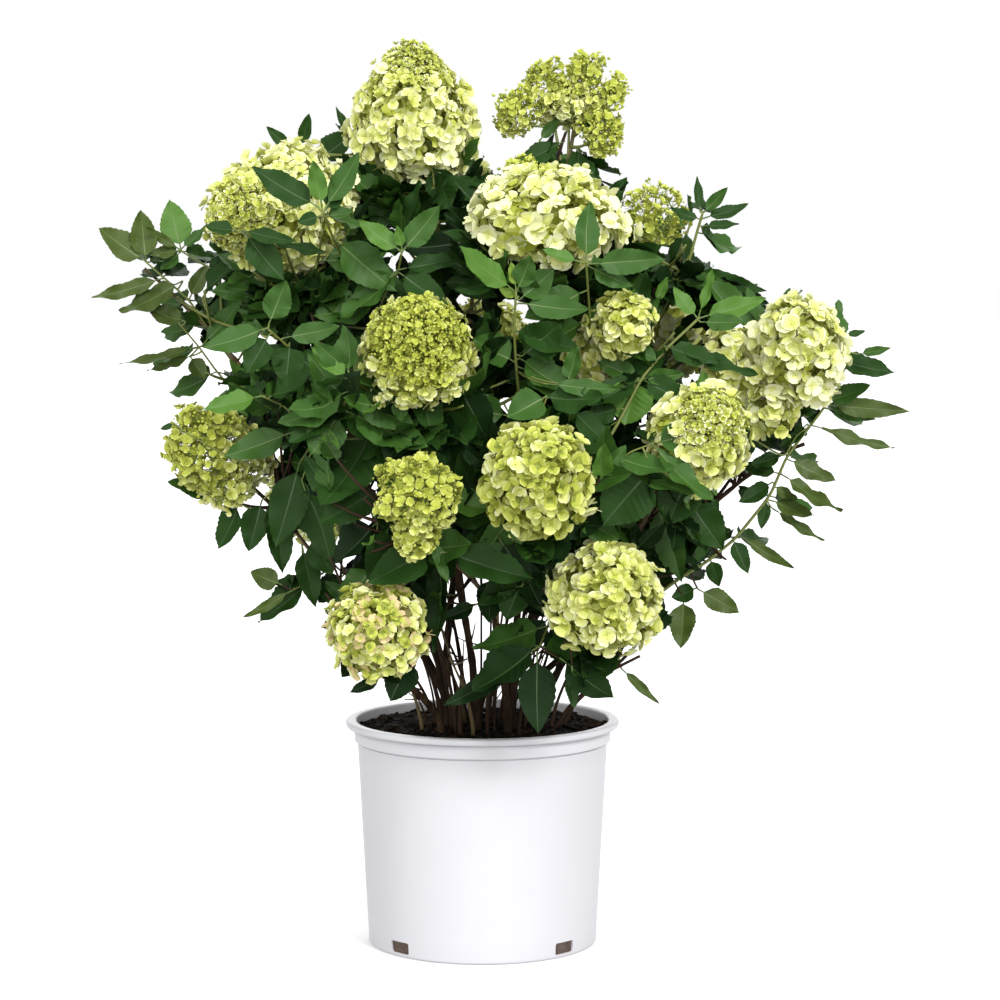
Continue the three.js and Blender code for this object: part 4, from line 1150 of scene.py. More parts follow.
def base_shoots():
    random = np.random.default_rng(SHOOT_SEED)
    pile = Pile()
    shares, side_shares = np.linspace(0, 1, 12), np.linspace(0, 1, 6)
    for i in range(SHOOT_COUNT):
        bearing = GOLDEN_ANGLE * i
        radius = lerp(*SHOOT_FOOT_RADII, random.uniform() ** 0.8)
        outward = np.array((math.cos(bearing), math.sin(bearing), 0))
        foot = outward * radius + UP * (SOIL_TOP - FOOT_SUNK)
        height = lerp(*SHOOT_HEIGHTS, random.uniform())
        lean = 0.15 + 0.5 * random.uniform()
        top = foot + UP * height + outward * height * lean + random.normal(0, 8, 3)
        curve = (foot, foot + UP * height * 0.45 + outward * 4, top)
        thick = lerp(*SHOOT_RADII, random.uniform())
        knots = 1 + 0.22 * np.cos(shares * 38 + i) ** 6
        tint = int(random.uniform() < 0.14)
        add_tube(pile, bezier(curve, shares), lerp(thick, thick * 0.55, shares) * knots, 6, tint)
        for _ in range(int(random.uniform(1, 4))):
            start = bezier(curve, random.uniform(0.4, 0.95))
            side = unit(outward * random.uniform(-0.5, 1) + random.normal(0, 0.6, 3) + UP * 0.7)
            reach = random.uniform(20, 62)
            bent = (start, start + side * reach * 0.5 - UP * 2, start + side * reach + UP * reach * 0.15)
            add_tube(pile, bezier(bent, side_shares), lerp(thick * 0.6, 0.5, side_shares), 4, tint)
    pile.piece("shoots_base", [TWIG_BROWN, TWIG_TAN], "young_wood")


# Foliage, by the rule of the solids and carried on to finer twigs

def panicle_arrays():
    at = np.array([panicle.at for panicle in PANICLES], float)
    axis = unit(np.array([panicle.axis for panicle in PANICLES], float))
    size = np.array([(panicle.width / 2, panicle.length / 2) for panicle in PANICLES], float)
    return at, axis, size


PANICLE_AT, PANICLE_AXIS, PANICLE_SIZE = panicle_arrays()
PANICLE_OUT = unit(PANICLE_AT - CROWN_HEART)
PANICLE_VIEW = unit(CAMERA_AT - PANICLE_AT)

# The share of a panicle's face that leaves keep clear of, squared, the depth behind which a panicle doesn't
# show from the camera, and how far in the frame leaves keep clear of those that show singly
HEAD_CLEAR = 0.85
FRONT_DEPTH = 50
LEAF_CLEAR = 5


def panicle_reach(offset, margin=0.0):
    """How far out of each panicle an offset from its middle lies, squared: 1 on its surface."""
    along = np.sum(offset * PANICLE_AXIS, axis=-1)
    across = np.sqrt(np.maximum(0, np.sum(offset ** 2, axis=-1) - along ** 2))
    return (along / (PANICLE_SIZE[:, 1] + margin)) ** 2 + (across / (PANICLE_SIZE[:, 0] + margin)) ** 2


def in_panicle(points, margin):
    """True for each point that lies in any panicle, or within the margin of its surface."""
    return (panicle_reach(points[..., None, :] - PANICLE_AT, margin) < 1).any(axis=-1)


def hides_panicle(points):
    """True if a point lies before a panicle's outer face, or between the camera and a panicle in front."""
    offset = points[:, None] - PANICLE_AT[None]
    for ways, shown in ((PANICLE_OUT, True), (PANICLE_VIEW, PANICLE_AT[:, 1] < FRONT_DEPTH)):
        before = np.sum(offset * ways, axis=-1)
        reach = panicle_reach(offset - ways * before[..., None])
        if ((reach < HEAD_CLEAR) & (before > 0) & shown).any():
            return True
    return False


def shown_leaves():
    """Each leaf that shows singly: where it starts and ends in the frame, its depth, width and tint."""
    for rows in SEEN_LEAVES.values():
        for row in rows:
            yield np.array(row[:2], float), np.array(row[2:4], float), *row[4:]


def shown_spots():
    """Places that a leaf of the crown must not cover: the middles of the leaves that show singly, each with
    its depth, and the white gaps, which no leaf crosses at any depth."""
    spots = [(across, down, np.inf, radius) for across, down, radius in WHITE_GAPS]
    for start, tip, depth, _, _ in shown_leaves():
        for share in (0.25, 0.5, 0.75):
            spots.append((*lerp(start, tip, share), depth, LEAF_CLEAR))
    return np.array(spots, float)


SHOWN_SPOTS = shown_spots()


def covers_shown(root, along, face, length):
    """True if a leaf would show before the middle of a leaf that shows singly, or across a white gap."""
    side = np.cross(face, along) * length * LEAF_WIDTH_SHARE / 2
    middle = root + along * length * 0.45
    places = np.stack(frame_places(np.array((root, root + along * length, middle, middle + side))), axis=1)
    way = places[1] - places[0]
    reach = np.linalg.norm(way) + 1e-6
    way = way / reach
    half = abs(np.cross(way, places[3] - places[2]))
    offset = SHOWN_SPOTS[:, :2] - places[0]
    share = offset @ way / reach
    beside = np.abs(offset[:, 0] * way[1] - offset[:, 1] * way[0])
    clear = SHOWN_SPOTS[:, 3]
    beyond = np.clip(np.abs(2 * share - 1) - 2 * clear / reach, 0, None)
    hit = (beyond < 1) & (beside < half * np.sqrt(np.clip(1 - beyond ** 2, 0, 1)) + clear)
    return (hit & (middle[1] < SHOWN_SPOTS[:, 2])).any()


def twig_fits(curve, mass):
    margin = TWIG_RADIUS[0] + SPACE_GAP
    return (depth_in_space(bezier(curve, np.linspace(0, 1, 9)), mass) > margin).all()


def twig_curve(start, tip, mass):
    """A twig bows down a little, so that its tip turns up, unless that would leave its mass's space."""
    middle = lerp(start, tip, 0.55)
    bowed = (start, middle - UP * TWIG_BOW * np.linalg.norm(tip - start), tip)
    return bowed if twig_fits(bowed, mass) else (start, middle, tip)


def twig_meets_limb(curve):
    points = bezier(curve, np.linspace(0, 1, 17))
    apart = np.linalg.norm(points[:, None] - LIMBS[None], axis=-1)
    return (apart < LIMB_THICKNESS + TWIG_RADIUS[0] + LIMB_GAP).any()


def fill_tips(mass, outward):
    """Directions spread evenly over the side of a mass that faces outwards."""
    level = UP if abs(outward[2]) < 0.9 else np.array((1.0, 0, 0))
    across = unit(np.cross(outward, level))
    up = np.cross(across, outward)
    count = np.arange(TWIG_TRIES)
    count = count[np.argsort(count * 0.618 % 1)]
    lean = np.arccos(1 - (1 - math.cos(FILL_CONE)) * (count + 0.5) / TWIG_TRIES)
    turn = count * GOLDEN_ANGLE + chance(mass, 7) * 2 * math.pi
    return leaning(outward, across, up, lean, turn)


def new_twig(curve, tip=None, flower=False, inner=False):
    """A twig, with the tip of the open shoot it bears, if any, and whether it bears a flower or fills the
    inside of the crown."""
    return {"curve": curve, "tip": tip, "flower": flower, "inner": inner}


def twigs_of(name, mass):
    """The main twig of a mass and the twigs that branch from it."""
    at, aim = bough_ends[name]
    outward = unit(SITES[mass] - CROWN_HEART)
    own = [i for i, panicle in enumerate(PANICLES) if panicle.mass == name]
    feet = [PANICLE_AT[i] - PANICLE_AXIS[i] * PANICLE_FOOT * 2 * PANICLE_SIZE[i, 1] for i in own]
    start = at + aim * GAP
    main_tip = feet[0] if own else SITES[mass] + outward * 0.5 * REACHES[mass]
    main_end = PANICLE_AXIS[own[0]] if own else outward
    length = np.linalg.norm(main_tip - start)
    main = (start, start + aim * length * 0.35, main_tip - main_end * length * 0.3, main_tip)
    twigs = [new_twig(main, flower=bool(own))]
    planned = [(foot, None) for foot in feet[1:]]
    for tip in np.array(SHOOT_TIPS, float):
        if depth_in_space(tip, mass) > 0:
            origin = bezier(main, 0.4)
            share = 1 - LEAF_LENGTH * SHOOT_LEAF_SHARE / np.linalg.norm(tip - origin)
            planned.append((lerp(origin, tip, share), tip))
    for i, (end, tip) in enumerate(planned):
        origin = bezier(main, 0.15 + 0.6 * ((i * 0.618) % 1))
        twigs.append(new_twig(twig_curve(origin, end, mass), tip, tip is None))
    most = OPEN_MASSES.get(name, MOST_TWIGS)
    for i, direction in enumerate(fill_tips(mass, outward)):
        if len(twigs) > most:
            break
        grown = fill_twig(twigs, mass, i, direction, main)
        if grown:
            twigs.append(grown)
    return twigs


def is_inner(point):
    """True inside the crown, where several masses lie close round a point."""
    close = np.linalg.norm(SITES - point, axis=1) < REACHES * INNER_SWELL
    return close.sum() >= INNER_COUNT


def fill_twig(twigs, mass, i, direction, main):
    """A twig from the main one towards a direction, where one fits. None if it doesn't."""
    for reach in (*INNER_REACHES, *TWIG_REACHES):
        end = SITES[mass] + direction * reach * REACHES[mass]
        if reach > 1 and not is_inner(end):
            continue
        if min(np.linalg.norm(twig["curve"][-1] - end) for twig in twigs) < TWIG_TIPS_APART:
            continue
        for share in (0.2 + 0.5 * chance(mass, i, 4), *TWIG_STARTS):
            curve = twig_curve(bezier(main, share), end, mass)
            clear = not in_panicle(bezier(curve, np.linspace(0, 1, 9)), FLOWER_GAP).any()
            clear = clear and in_outline(bezier(curve, np.linspace(0.3, 1, 5))).all()
            if clear and twig_fits(curve, mass) and not twig_meets_limb(curve):
                return new_twig(curve)
    return None


def light_at(point):
    """The way that a leaf's upper side turns: up, out of the crown, and to the front or the back."""
    to_side = np.array((0, 0.6 * np.sign(point[1] - CROWN_RIDGE), 0))
    return UP * 0.4 + unit((point - CROWN_HEART) * LEVEL) + to_side


def leaf_places(twig, mass, number, outward):
    """Opposite pairs of leaves, each a quarter turn from the last, then a rosette at the tip."""
    curve = twig["curve"]
    is_shoot = twig["tip"] is not None
    pairs = max(1, math.floor(curve_length(curve) / (SHOOT_PAIRS_APART if is_shoot else PAIRS_APART)))
    places = []
    for pair in range(pairs + 1, -1, -1):
        tuft = pair >= pairs
        if tuft and twig["flower"]:
            continue
        share = TUFT_SHARE if tuft else (pair + 0.6) / (pairs + 0.6)
        forward = bezier_way(curve, share)
        side = np.cross(forward, UP)
        side = unit(side) if np.dot(side, side) > 0.01 else np.array((1.0, 0, 0))
        turn = (pair % 2) * math.pi / 2 + (chance(mass, number, pair, 1) - 0.5) * 0.7
        side = turned(side, forward, turn + math.pi / 4)
        for sign in (1, -1):
            draw = chance(mass, number, pair, 5 + sign)
            droop = 0.25 + 0.4 * draw + 0.9 * max(0, sign * np.dot(side, outward))
            along = forward * 0.45 + side * sign * 0.85 - UP * droop
            size = 0.86 + 0.26 * chance(mass, number, pair, 9 + sign)
            if pair == pairs:
                along = forward * 0.7 + side * sign * 0.8 - UP * 0.15 * draw
                size = (0.86 if is_shoot else 0.74) + 0.15 * draw
            if pair > pairs:
                along = forward + side * sign * (0.3 + 0.3 * draw)
                size = (0.56 if is_shoot else 0.42) + 0.16 * draw
            root = bezier(curve, share)
            places.append({
                "root": root, "forward": forward, "along": unit(along), "light": light_at(root),
                "size": size * LEAF_LENGTH, "young": tuft, "tip": twig["tip"], "twig": number, "mass": mass,
            })
    return places


def fit_leaf(place, mass, inner):
    """A leaf at full size, or turned about its twig or made smaller where it would leave its reach,
    enter a panicle or cross a limb. None if it doesn't fit."""
    for scale in LEAF_SIZES:
        for turn in LEAF_TURNS:
            along = turned(place["along"], place["forward"], turn)
            face = square_to(place["light"], along)
            length = place["size"] * scale
            points = place["root"] + along * length * np.array((0.3, 0.6, 1.0))[:, None]
            across = np.cross(face, along) * length * LEAF_WIDTH_SHARE / 2
            points = np.concatenate((points, points[:2] + across, points[:2] - across))
            near = np.linalg.norm(points - SITES[mass], axis=1) < REACHES[mass] * LEAF_REACH
            near |= inner or is_inner(points[2])
            if place["tip"] is not None:
                near |= np.linalg.norm(points - place["tip"], axis=1) < LEAF_LENGTH
            inside = ((points > CROWN_LOW) & (points < CROWN_HIGH)).all()
            if not (near.all() and inside) or in_panicle(points, 1).any():
                continue
            if not in_outline(points).all() or hides_panicle(points):
                continue
            if leaf_meets_limb(place["root"], along, face, length):
                continue
            if covers_shown(place["root"], along, face, length):
                continue
            return {**place, "along": along, "face": face, "length": length}
    return None


def leaf_meets_limb(root, along, face, length):
    offset = LIMBS - root
    ahead = offset @ along
    beside = np.abs(offset @ np.cross(face, along))
    above = np.abs(offset @ face)
    margin = LIMB_THICKNESS + LIMB_GAP
    hit = (ahead > -margin) & (ahead < length + margin)
    hit &= (beside < length * LEAF_WIDTH_SHARE / 2 + margin) & (above < length * 0.06 + margin)
    return hit.any()


def side_twigs(name, mass):
    """Short leafy twigs along a bough, which fill the inside of the crown."""
    curve = bough_curves[name]
    twigs = []
    count = math.floor(curve_length(curve) / SIDE_TWIGS_APART)
    for i in range(count):
        share = (i + 0.7) / (count + 0.4)
        origin = bezier(curve, share)
        way = bezier_way(curve, share)
        side = square_to(turned(np.array((0.6, 0.8, 0)), UP, GOLDEN_ANGLE * i + 7 * chance(mass, 31)), way)
        length = SIDE_TWIG_LENGTH * (0.7 + 0.6 * chance(mass, i, 32))
        aim = unit(side + way * 0.4 + UP * 0.3 * (chance(mass, i, 33) - 0.3))
        end = origin + aim * length
        inside = ((end > CROWN_LOW) & (end < CROWN_HIGH)).all()
        if in_panicle(end[None], FLOWER_GAP).any() or not inside or end[2] < BARE_BELOW + 60 * abs(way[2]):
            continue
        if not in_outline(end[None]).all():
            continue
        middle = lerp(origin, end, 0.5) - UP * TWIG_BOW * length
        twigs.append(new_twig((origin, middle, end), inner=True))
    return twigs


def grow_mass(name):
    mass = MASS_NAMES.index(name)
    outward = unit(SITES[mass] - CROWN_HEART)
    twigs = twigs_of(name, mass) + side_twigs(name, mass)
    places = [leaf_places(twig, mass, i, outward) for i, twig in enumerate(twigs)]
    leaves = []
    for turn in range(max(len(each) for each in places)):
        for each in places:
            if turn < len(each) and len(leaves) < MOST_LEAVES + INNER_LEAVES:
                leaf = fit_leaf(each[turn], mass, twigs[each[turn]["twig"]]["inner"])
                if leaf:
                    leaves.append(leaf)
    return twigs, leaves


# A leaf: ovate with a drawn-out tip, folded along its rib, toothed, and quilted between its side veins

LEAF_ROWS = 16
LEAF_COLUMNS = np.array((-1, -0.52, -0.03, 0.03, 0.52, 1))
TOOTH = 0.03
VEIN_SLANT = 0.2
QUILT_RISE = 0.05
PETIOLE_SHARE = 0.13
RIB_HALF_WIDTH = 0.019
RIB_RISE = 0.006
LEAF_RIPPLES = 2.3
SHOWN_SWELL = 1.12
OUTER_SHARE = 0.1

# Above the first height young leaves are light, below the others leaves are dark, as painted shade under the
# crown, and twigs brown
YOUNG_LEAVES = 400
SHADED_LOW_LEAVES = 420
LOW_TWIGS = 520


def leaf_outline(share):
    """Half the width of a leaf at a share of its length, from 0 to 1."""
    base, tip = 0.6, 1.02
    widest = base / (base + tip)
    full = widest ** base * (1 - widest) ** tip
    share = np.clip(share, 0, 1)
    return share ** base * (1 - share) ** tip / full


def leaf_vertices(root, along, face, length, width, bend, fold, wave, phase, twist):
    """Every leaf at once: one row of numbers for each. Returns (leaves, corners, 3)."""
    length, width, bend, fold, wave, phase, twist = (
        values[:, None, None] for values in (length, width, bend, fold, wave, phase, twist))
    rows = np.linspace(0, 1, LEAF_ROWS + 1)[:, None]
    in_turn = np.where(np.arange(LEAF_ROWS + 1) % 2 == 0, 1, -1)[:, None]
    outer = np.abs(LEAF_COLUMNS)
    on_rib = outer < 0.1
    share = rows + np.clip(rows / 0.15, 0, 1) * (1 - rows) * VEIN_SLANT * outer
    half = leaf_outline(share) * (1 + TOOTH * in_turn * (outer == 1))
    sideways = np.sign(LEAF_COLUMNS) * np.where(on_rib, 0, outer) * half
    rib = np.where(on_rib, np.sign(LEAF_COLUMNS) * RIB_HALF_WIDTH, 0) * np.clip(1.15 - rows, 0, 1)
    quilt = in_turn * np.where(outer == 1, 0.25, np.where(on_rib, 0, 1)) * np.clip(1.2 - rows, 0, 1)

    # The blade is bent along its length, folded along its rib and waved along its edges, then twisted
    angle = bend * (share - 0.5)
    turn = np.maximum(bend, 1e-3)
    forward = length / turn * (np.sin(angle) + np.sin(turn / 2))
    height = length / turn * (np.cos(turn / 2) - np.cos(angle))
    across = width / 2 * sideways + width * rib
    lift = np.abs(across) * np.tan(fold) - 0.25 * across ** 2 / np.maximum(width, 1)
    waves = 2 * math.pi * LEAF_RIPPLES * share + phase + math.pi * (LEAF_COLUMNS > 0)
    ripple = wave * length * np.sin(waves) * outer ** 2
    raised = lift + ripple + quilt * width * QUILT_RISE + np.where(on_rib, RIB_RISE, 0) * width
    lean = twist * share
    spread = across * np.cos(lean) - raised * np.sin(lean)
    raised = across * np.sin(lean) + raised * np.cos(lean)
    forward = forward + raised * np.sin(angle)
    height = height + raised * np.cos(angle)
    points = (
        root[:, None, None]
        + forward[..., None] * along[:, None, None]
        + spread[..., None] * np.cross(face, along)[:, None, None]
        + height[..., None] * face[:, None, None]
    )
    return points.reshape(len(root), -1, 3)


def leaf_tint(leaf, random):
    """Young leaves at outer tips are lightest, and each spray has its own green. Leaves low in the crown are
    deep and dark, as painted shade.
    """
    draw = random.uniform()
    mass = leaf["mass"]
    spray = chance(mass, leaf["twig"], 77)
    outer = np.dot(leaf["root"] - SITES[mass], unit(SITES[mass] - CROWN_HEART)) > OUTER_SHARE * REACHES[mass]
    if leaf["young"] and outer and leaf["root"][2] > YOUNG_LEAVES:
        return FRESH if draw < 0.4 else MID
    # Painted shade: leaves low under the crown are deep and dark.
    if leaf["root"][2] < SHADED_LOW_LEAVES:
        return (DEEP_AND_SHADE, DEEP_AND_SHADE, DARK, DARK)[int(4 * draw)]
    if leaf["tip"] is not None:
        return (MID, OLIVE, FRESH)[int(3 * (0.6 * spray + 0.4 * draw))]
    if outer:
        return (DEEP_AND_SHADE, DARK, MID, MID, FRESH)[int(5 * (0.4 * spray + 0.6 * draw))]
    return (DEEP_AND_SHADE, DEEP_AND_SHADE, DARK, MID, MID)[int(5 * (0.45 * spray + 0.55 * draw))]


def add_leaves(pile, leaves, seed):
    """Blades and stalks. A leaf that shows singly has its own width and tint, and a calmer form."""
    random = np.random.default_rng(seed)
    count = len(leaves)
    root, along, face, length, young = (
        np.array([leaf[key] for leaf in leaves]) for key in ("root", "along", "face", "length", "young"))
    tint = np.array([leaf["tint"] if "tint" in leaf else leaf_tint(leaf, random) for leaf in leaves])
    given = np.array([leaf.get("width", 0) for leaf in leaves], float)
    shown = given > 0
    on_shoot = np.array([leaf["tip"] is not None for leaf in leaves])
    blade = length * (1 - PETIOLE_SHARE)
    face = square_to(face + random.normal(0, 1, (count, 3)) * np.where(shown, 0.2, 0.25)[:, None], along)
    bend = random.uniform(0.5, 1.4, count) * np.where(young, 0.5, 1) * np.where(shown, 0.7, 1)
    fold = random.uniform(0.2, 0.62, count) + np.where(young, 0.2, 0)
    wave = random.uniform(0.02, 0.055, count)
    twist = random.normal(0, 0.28, count) * np.where(shown, 0.5, 1)
    width = blade * random.uniform(0.54, 0.66, count) * np.where(young | on_shoot, 0.76, 1)
    width = np.where(shown, given * SHOWN_SWELL, width)
    base = root + along * (length * PETIOLE_SHARE)[:, None]
    phase = random.uniform(0, ANY_TURN, count)
    vertices = leaf_vertices(base, along, face, blade, width, bend, fold, wave, phase, twist)
    faces = grid_faces(LEAF_ROWS + 1, len(LEAF_COLUMNS))
    on_rib = np.arange(len(faces)) % (len(LEAF_COLUMNS) - 1) == 2
    # Deep and dark leaves, the low ones darkened as painted shade, get the darker rib.
    rib = np.where(tint < MID, DARK_RIB, RIB)
    material = np.where(on_rib[None], rib[:, None], tint[:, None])
    pile.add_copies(vertices, faces, material)
    thin_tubes(pile, root, vertices[:, 2:4].mean(axis=1), 1.0, RIB)


# Flowers

SEPALS = 4

# Each kind of sepal: how far out each row of corners lies, half its width there, how much its end is
# rounded, and its columns
OUTER_SEPAL = ((0.06, 0.36, 0.74, 1.0), (0.1, 0.4, 0.54, 0.3), (0, 0, 0.02, 0.12), (-1, 0, 1))
INNER_SEPAL = ((0.08, 0.62, 1.0), (0.14, 0.54, 0.3), (0, 0, 0), (-1, 1))


def lighter(tints):
    """The next paler tint of cream and lime, for the edges of sepals."""
    return np.where((tints >= CREAM) & (tints <= GREEN), tints - 1, tints)


def florets(pile, at, facing, radius, cup, inner, outer, random, form, pointed=0.0):
    """Four cupped sepals, for every floret at once."""
    count = len(at)
    if not count:
        return
    rows, halves, rounding = (np.array(each, float) for each in form[:3])
    columns = np.array(form[3], float)
    start = square_to(random.normal(0, 1, (count, 3)), facing)
    vertices = []
    for sepal in range(SEPALS):
        turn = sepal * math.pi / 2 + random.normal(0, 0.1, count)
        way = turned(start, facing, turn)
        side = np.cross(facing, way)
        size = radius * random.uniform(0.84, 1.12, count)
        lift = cup + random.normal(0, 0.16, count)
        curl = random.uniform(-0.25, 0.35, count)
        out = rows[:, None] - rounding[:, None] * np.abs(columns)[None]
        half = halves[:, None] * columns[None] * np.where(rows == 1, 1 - pointed, 1)[:, None]
        angle = lift[:, None, None] + curl[:, None, None] * out[None]
        forward = out[None] * np.cos(angle)
        height = out[None] * np.sin(angle) + 0.1 * np.abs(columns)[None, None] * out[None]
        height = height + 0.05 * (sepal % 2)
        point = (
            forward[..., None] * way[:, None, None]
            + height[..., None] * facing[:, None, None]
            + (half[None] * np.ones((count, 1, 1)))[..., None] * side[:, None, None]
        )
        vertices.append((at[:, None, None] + point * size[:, None, None, None]).reshape(count, -1, 3))
    faces = grid_faces(len(rows), len(columns))
    corners = len(rows) * len(columns)
    every = np.concatenate([faces + corners * sepal for sepal in range(SEPALS)])
    across = len(columns) - 1
    near = np.tile(np.arange(len(faces)) < across, SEPALS)
    edge = np.tile(np.arange(len(faces)) >= len(faces) - across, SEPALS) & (len(rows) > 3)
    outer = np.asarray(outer)[:, None]
    material = np.where(near[None], np.asarray(inner)[:, None], np.where(edge[None], lighter(outer), outer))
    pile.add_copies(np.concatenate(vertices, axis=1), every, material)


def buds(pile, at, facing, radius, tint):
    """Small closed buds, each a slim block of eight faces."""
    if not len(at):
        return
    side = square_to(np.broadcast_to((0.3, 0.5, 0.81), at.shape), facing)
    other = np.cross(facing, side)
    ways = np.stack((side, other, -side, -other), axis=1)
    middle = at[:, None] + ways * np.asarray(radius)[:, None, None]
    low = at - facing * np.asarray(radius)[:, None]
    high = at + facing * (1.3 * np.asarray(radius))[:, None]
    vertices = np.concatenate((middle, low[:, None], high[:, None]), axis=1)
    faces = np.array([(i, (i + 1) % 4, 5) for i in range(4)] + [((i + 1) % 4, i, 4) for i in range(4)])
    pile.add_copies(vertices, faces, np.repeat(np.asarray(tint)[:, None], 8, axis=1))


def spread_over(count):
    """Points spread evenly over a ball: how far up each is, from -1 to 1, and its bearing."""
    number = np.arange(count)
    return 1 - 2 * (number + 0.5) / count, number * GOLDEN_ANGLE


# The form of a panicle, and how much of its surface one bud or one of its branches takes up
PANICLE_TAPER = {"cone": 0.42, "broad_cone": 0.42}
PLAIN_TAPER = 0.26
EGG_WIDTH = 0.85
EGG_LENGTH = 0.96
BUD_AREA = 15
BACK_BUD_AREA = 26
BRANCH_AREA = 2100
FLORET_SHARE = 0.62

# The florets and buds in each cluster of a loose panicle
CLUSTER_SIZES = {"lobe": 12, "lobe_pale": 12, "open": 10}
CLUSTER_SIZE = 15
CLUSTER_SPREAD = 5.2


def egg(panicle, up, bearing, reach):
    """Places on a panicle's surface, and the way each faces."""
    at = np.array(panicle.at, float)
    axis = unit(panicle.axis)
    side = square_to(np.array((0.4, 0.8, 0.3)), axis)
    other = np.cross(axis, side)
    ring = np.sqrt(np.maximum(0, 1 - up ** 2))
    around = side * np.cos(bearing)[:, None] + other * np.sin(bearing)[:, None]
    half_width, half_length = panicle.width / 2, panicle.length / 2
    broad = half_width * (1 - PANICLE_TAPER.get(panicle.kind, PLAIN_TAPER) * up) * EGG_WIDTH
    offset = around * (ring * broad)[:, None] + axis * (up * EGG_LENGTH * half_length)[:, None]
    facing = around * (ring / half_width)[:, None] + axis * ((up + 0.25 * ring) / half_length)[:, None]
    return at + offset * np.asarray(reach)[:, None], unit(facing)


# A height on a panicle, from -1 to 1, above which no buds start
NO_BUDS = 1.2


def full_head(radius, density, tints, buds_from=NO_BUDS, pink=0):
    """A dense way of blooming: the radius and density of its florets, their tints from the foot up, how far
    up its buds start, and the share of pink florets."""
    return {"buds_from": buds_from, "radius": radius, "density": density, "tints": tints, "pink": pink}


def loose_head(cluster, radius, ripe, tints):
    """An airy way of blooming: the radius of its clusters and of their florets, the share of open florets
    at its foot and at its tip, and their tints from the foot up."""
    return {"cluster": cluster, "radius": radius, "ripe": ripe, "tints": tints}


STYLES = {
    "cone": full_head(8.8, 1.15, (WHITE, CREAM, CREAM, PALE_LIME), 0.58),
    "broad_cone": full_head(11, 1.1, (WHITE, CREAM, CREAM, PALE_LIME), 0.5),
    "white": full_head(12.5, 1.2, (CREAM, WHITE, WHITE, CREAM)),
    # A ball is whitest in its upper half: painted light on the side that the light falls on.
    "ball": full_head(10.5, 1.15, (PALE_LIME, CREAM, WHITE, CREAM)),
    "deep_ball": full_head(11.5, 1.1, (LIME, PALE_LIME, CREAM, LIME)),
    "pale_ball": full_head(10.5, 1.15, (PALE_LIME, CREAM, CREAM, PALE_LIME)),
    "disc": full_head(7.8, 1.1, (PALE_LIME, CREAM, PALE_LIME, LIME), 0.25),
    "dome": full_head(11, 1.1, (CREAM, CREAM, CREAM, PALE_LIME), 0.5),
    "small": full_head(8.8, 1.2, (PALE_LIME, CREAM, CREAM, PALE_LIME)),
    "blush": full_head(9.5, 1.2, (CREAM, PALE_LIME, CREAM, LIME), pink=0.3),
    "olive": loose_head(15, 6.8, (0.95, 0.6), (CREAM, PALE_LIME, LIME, LIME)),
    "open": loose_head(14, 6, (0.7, 0.5), (PALE_LIME, LIME, LIME, LIME)),
    "lobe": loose_head(9, 5, (0.8, 0.5), (PALE_LIME, LIME, LIME, LIME)),
    "lobe_pale": loose_head(9, 6.2, (1, 0.8), (CREAM, CREAM, PALE_LIME, PALE_LIME)),
    "airy": loose_head(13, 6.4, (0.95, 0.75), (PALE_LIME, PALE_LIME, LIME, LIME)),
}


def skeleton(pile, panicle, tips):
    """The panicle's stalk and the branches that carry its flowers."""
    at = np.array(panicle.at, float)
    axis = unit(panicle.axis)
    foot = at - axis * PANICLE_FOOT * panicle.length
    top = at + axis * PANICLE_TOP * panicle.length
    add_tube(pile, [foot - axis * 4, lerp(foot, top, 0.5), top], (1.8, 1.4, 0.7), 6, STALK)
    along = np.clip((tips - foot) @ axis / np.linalg.norm(top - foot) - 0.22, 0.02, 0.98)
    starts = foot + (top - foot) * along[:, None]
    thin_tubes(pile, starts, tips, 0.65, STALK, 0.04)


